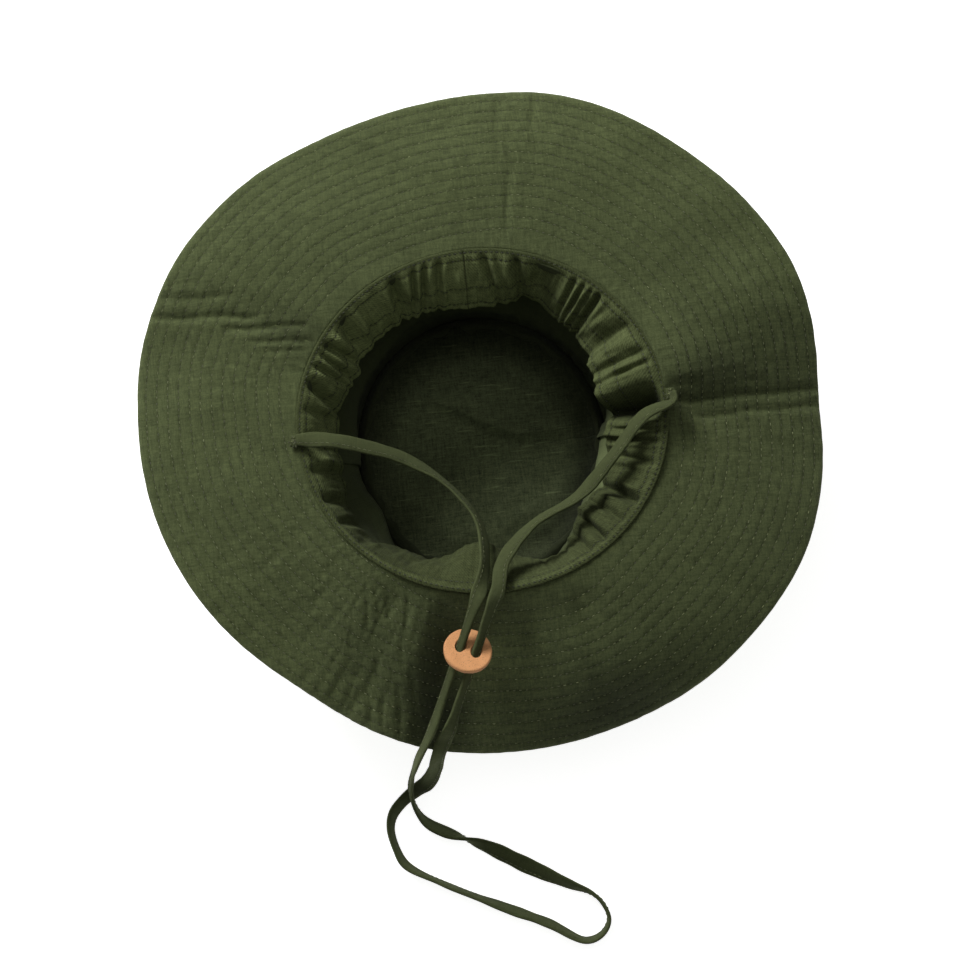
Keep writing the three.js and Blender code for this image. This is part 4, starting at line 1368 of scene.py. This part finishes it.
def make_anchor(side, node):
    """The strap's end, folded and sewn down on the brim seam with crossing rows of stitches."""
    lowest, highest = (np.array(corner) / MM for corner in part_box(node))
    middle, half = (lowest + highest) / 2, (highest - lowest) / 2
    middle[2] -= END_SINK
    half = half * END_TRIM
    rows, columns = 15, 19
    u = np.linspace(-1, 1, rows)[:, None]
    v = np.linspace(-1, 1, columns)[None, :]
    squeeze = np.sqrt(np.clip(1 - np.abs(u) ** 6, 0, 1)) * np.sqrt(np.clip(1 - np.abs(v) ** 6, 0, 1))
    quilt = 0.25 * (np.abs(np.abs(u) - np.abs(v)) < 0.12)
    x, y = np.broadcast_arrays(middle[0] + half[0] * u, middle[1] + half[1] * v)
    top = np.stack([x, y, middle[2] + half[2] * (0.15 + 0.8 * squeeze - quilt * squeeze)], -1)
    low = np.stack([x, y, middle[2] - half[2] * (0.15 + 0.8 * squeeze)], -1)
    flat = np.stack([x, y, 0 * x], -1)
    piece = slab_piece(f"strap_end_{side}", top, low, strap_cloth, flat)
    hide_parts(node)
    lines = []
    for turn in np.radians([8, 40, 75, 110, 148]):
        reach = np.linspace(-1.15, 1.15, 8) * np.array([[math.cos(turn)], [math.sin(turn)]])
        spot = np.stack([middle[0] + half[0] * reach[0], middle[1] + half[1] * reach[1],
                         np.full(8, middle[2] + half[2] * 0.93)], -1)
        lines.append(np.concatenate([spot, np.tile([0.0, 0.0, 1.0], (8, 1))], 1))
    stitch_piece(f"strap_end_stitching_{side}", lines, closed=False, pitch=1.7, cover=0.8, seed=59)


# ---- leather slider -------------------------------------------------------------------------

SLIDER_RADIUS, SLIDER_THICKNESS, SLIDER_LEAN, SLIDER_HOLE = 12.5, 2.6, 24.0, 5.6


def disc_section():
    """The slider's section turned round Z, with a soft rounded edge."""
    half, corner = SLIDER_THICKNESS / 2, 0.9
    rim = []
    for t in np.linspace(90, -90, 9):
        across, up = math.cos(math.radians(t)), math.sin(math.radians(t))
        rim.append((SLIDER_RADIUS - corner + corner * across, (half - corner) * np.sign(up) + corner * up))
    inner = [(r, half) for r in np.linspace(0.05, SLIDER_RADIUS - corner - 0.3, 9)]
    return turned_points(inner + rim + [(r, -z) for r, z in inner[::-1]], 72)


def apply_modifiers(piece):
    graph = bpy.context.evaluated_depsgraph_get()
    solved = bpy.data.meshes.new_from_object(piece.evaluated_get(graph))
    piece.modifiers.clear()
    piece.data = solved


def make_slider():
    section = disc_section()
    lean, turn = math.radians(90 - SLIDER_LEAN), math.radians(-RUN_HEADING)
    facing = np.array([-math.cos(lean) * math.sin(turn), math.cos(lean) * math.cos(turn), math.sin(lean)])
    sideways = ACROSS
    upward = np.cross(facing, sideways)
    place = RUN_MIDDLE + section[..., :1] * sideways + section[..., 1:2] * upward
    place = place + section[..., 2:] * facing
    disc = ring_piece("slider_disc", place, leather)
    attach(disc, "strap_slider")
    for side in (-1, 1):
        bpy.ops.mesh.primitive_cylinder_add(radius=SLIDER_HOLE / 2 * MM, depth=40 * MM, vertices=48)
        tool = bpy.context.object
        tool.rotation_mode = "QUATERNION"
        tool.rotation_quaternion = Vector(ALONG).to_track_quat("Z", "Y")
        tool.location = Vector((RUN_MIDDLE + ACROSS * side * PAIR / 2) * MM)
        bpy.context.view_layer.update()
        cut = disc.modifiers.new("hole", "BOOLEAN")
        cut.object = tool
        cut.solver = "EXACT"
        apply_modifiers(disc)
        bpy.data.objects.remove(tool)
    remesh = disc.modifiers.new("even", "REMESH")
    remesh.mode = "VOXEL"
    remesh.voxel_size = 0.28 * MM
    soft = disc.modifiers.new("soft", "SMOOTH")
    soft.iterations = 4
    apply_modifiers(disc)
    mesh = disc.data
    points = np.zeros(len(mesh.vertices) * 3)
    mesh.vertices.foreach_get("co", points)
    points = points.reshape(-1, 3) / MM
    normals = np.array([v.normal for v in mesh.vertices])
    local = points - RUN_MIDDLE
    flat_u, flat_v = local @ sideways, local @ upward
    relief = 0.06 * wobble(flat_u, flat_v, 8.5, 111) + 0.012 * wobble(flat_u, flat_v, 2.4, 112)
    points = points + normals * relief[:, None]
    mesh.vertices.foreach_set("co", (points * MM).astype(np.float32).ravel())
    reach = np.hypot(flat_u, flat_v)
    old = mesh.attributes.get("shade")
    if old:
        mesh.attributes.remove(old)
    attribute = mesh.attributes.new("shade", "FLOAT", "POINT")
    shade = 1 - 0.16 * smoothstep((reach - 11.0) / 1.2) - 0.14 * (np.abs(normals @ facing) < 0.5)
    attribute.data.foreach_set("value", shade.astype(np.float32))
    mesh.polygons.foreach_set("use_smooth", np.ones(len(mesh.polygons), bool))
    mesh.update()
    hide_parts("slider")
    return disc


strap, strap_stitching, strap_centre, strap_length = make_strap()
make_anchor("left", "strap_anchor_left")
make_anchor("right", "strap_anchor_right")
slider = make_slider()
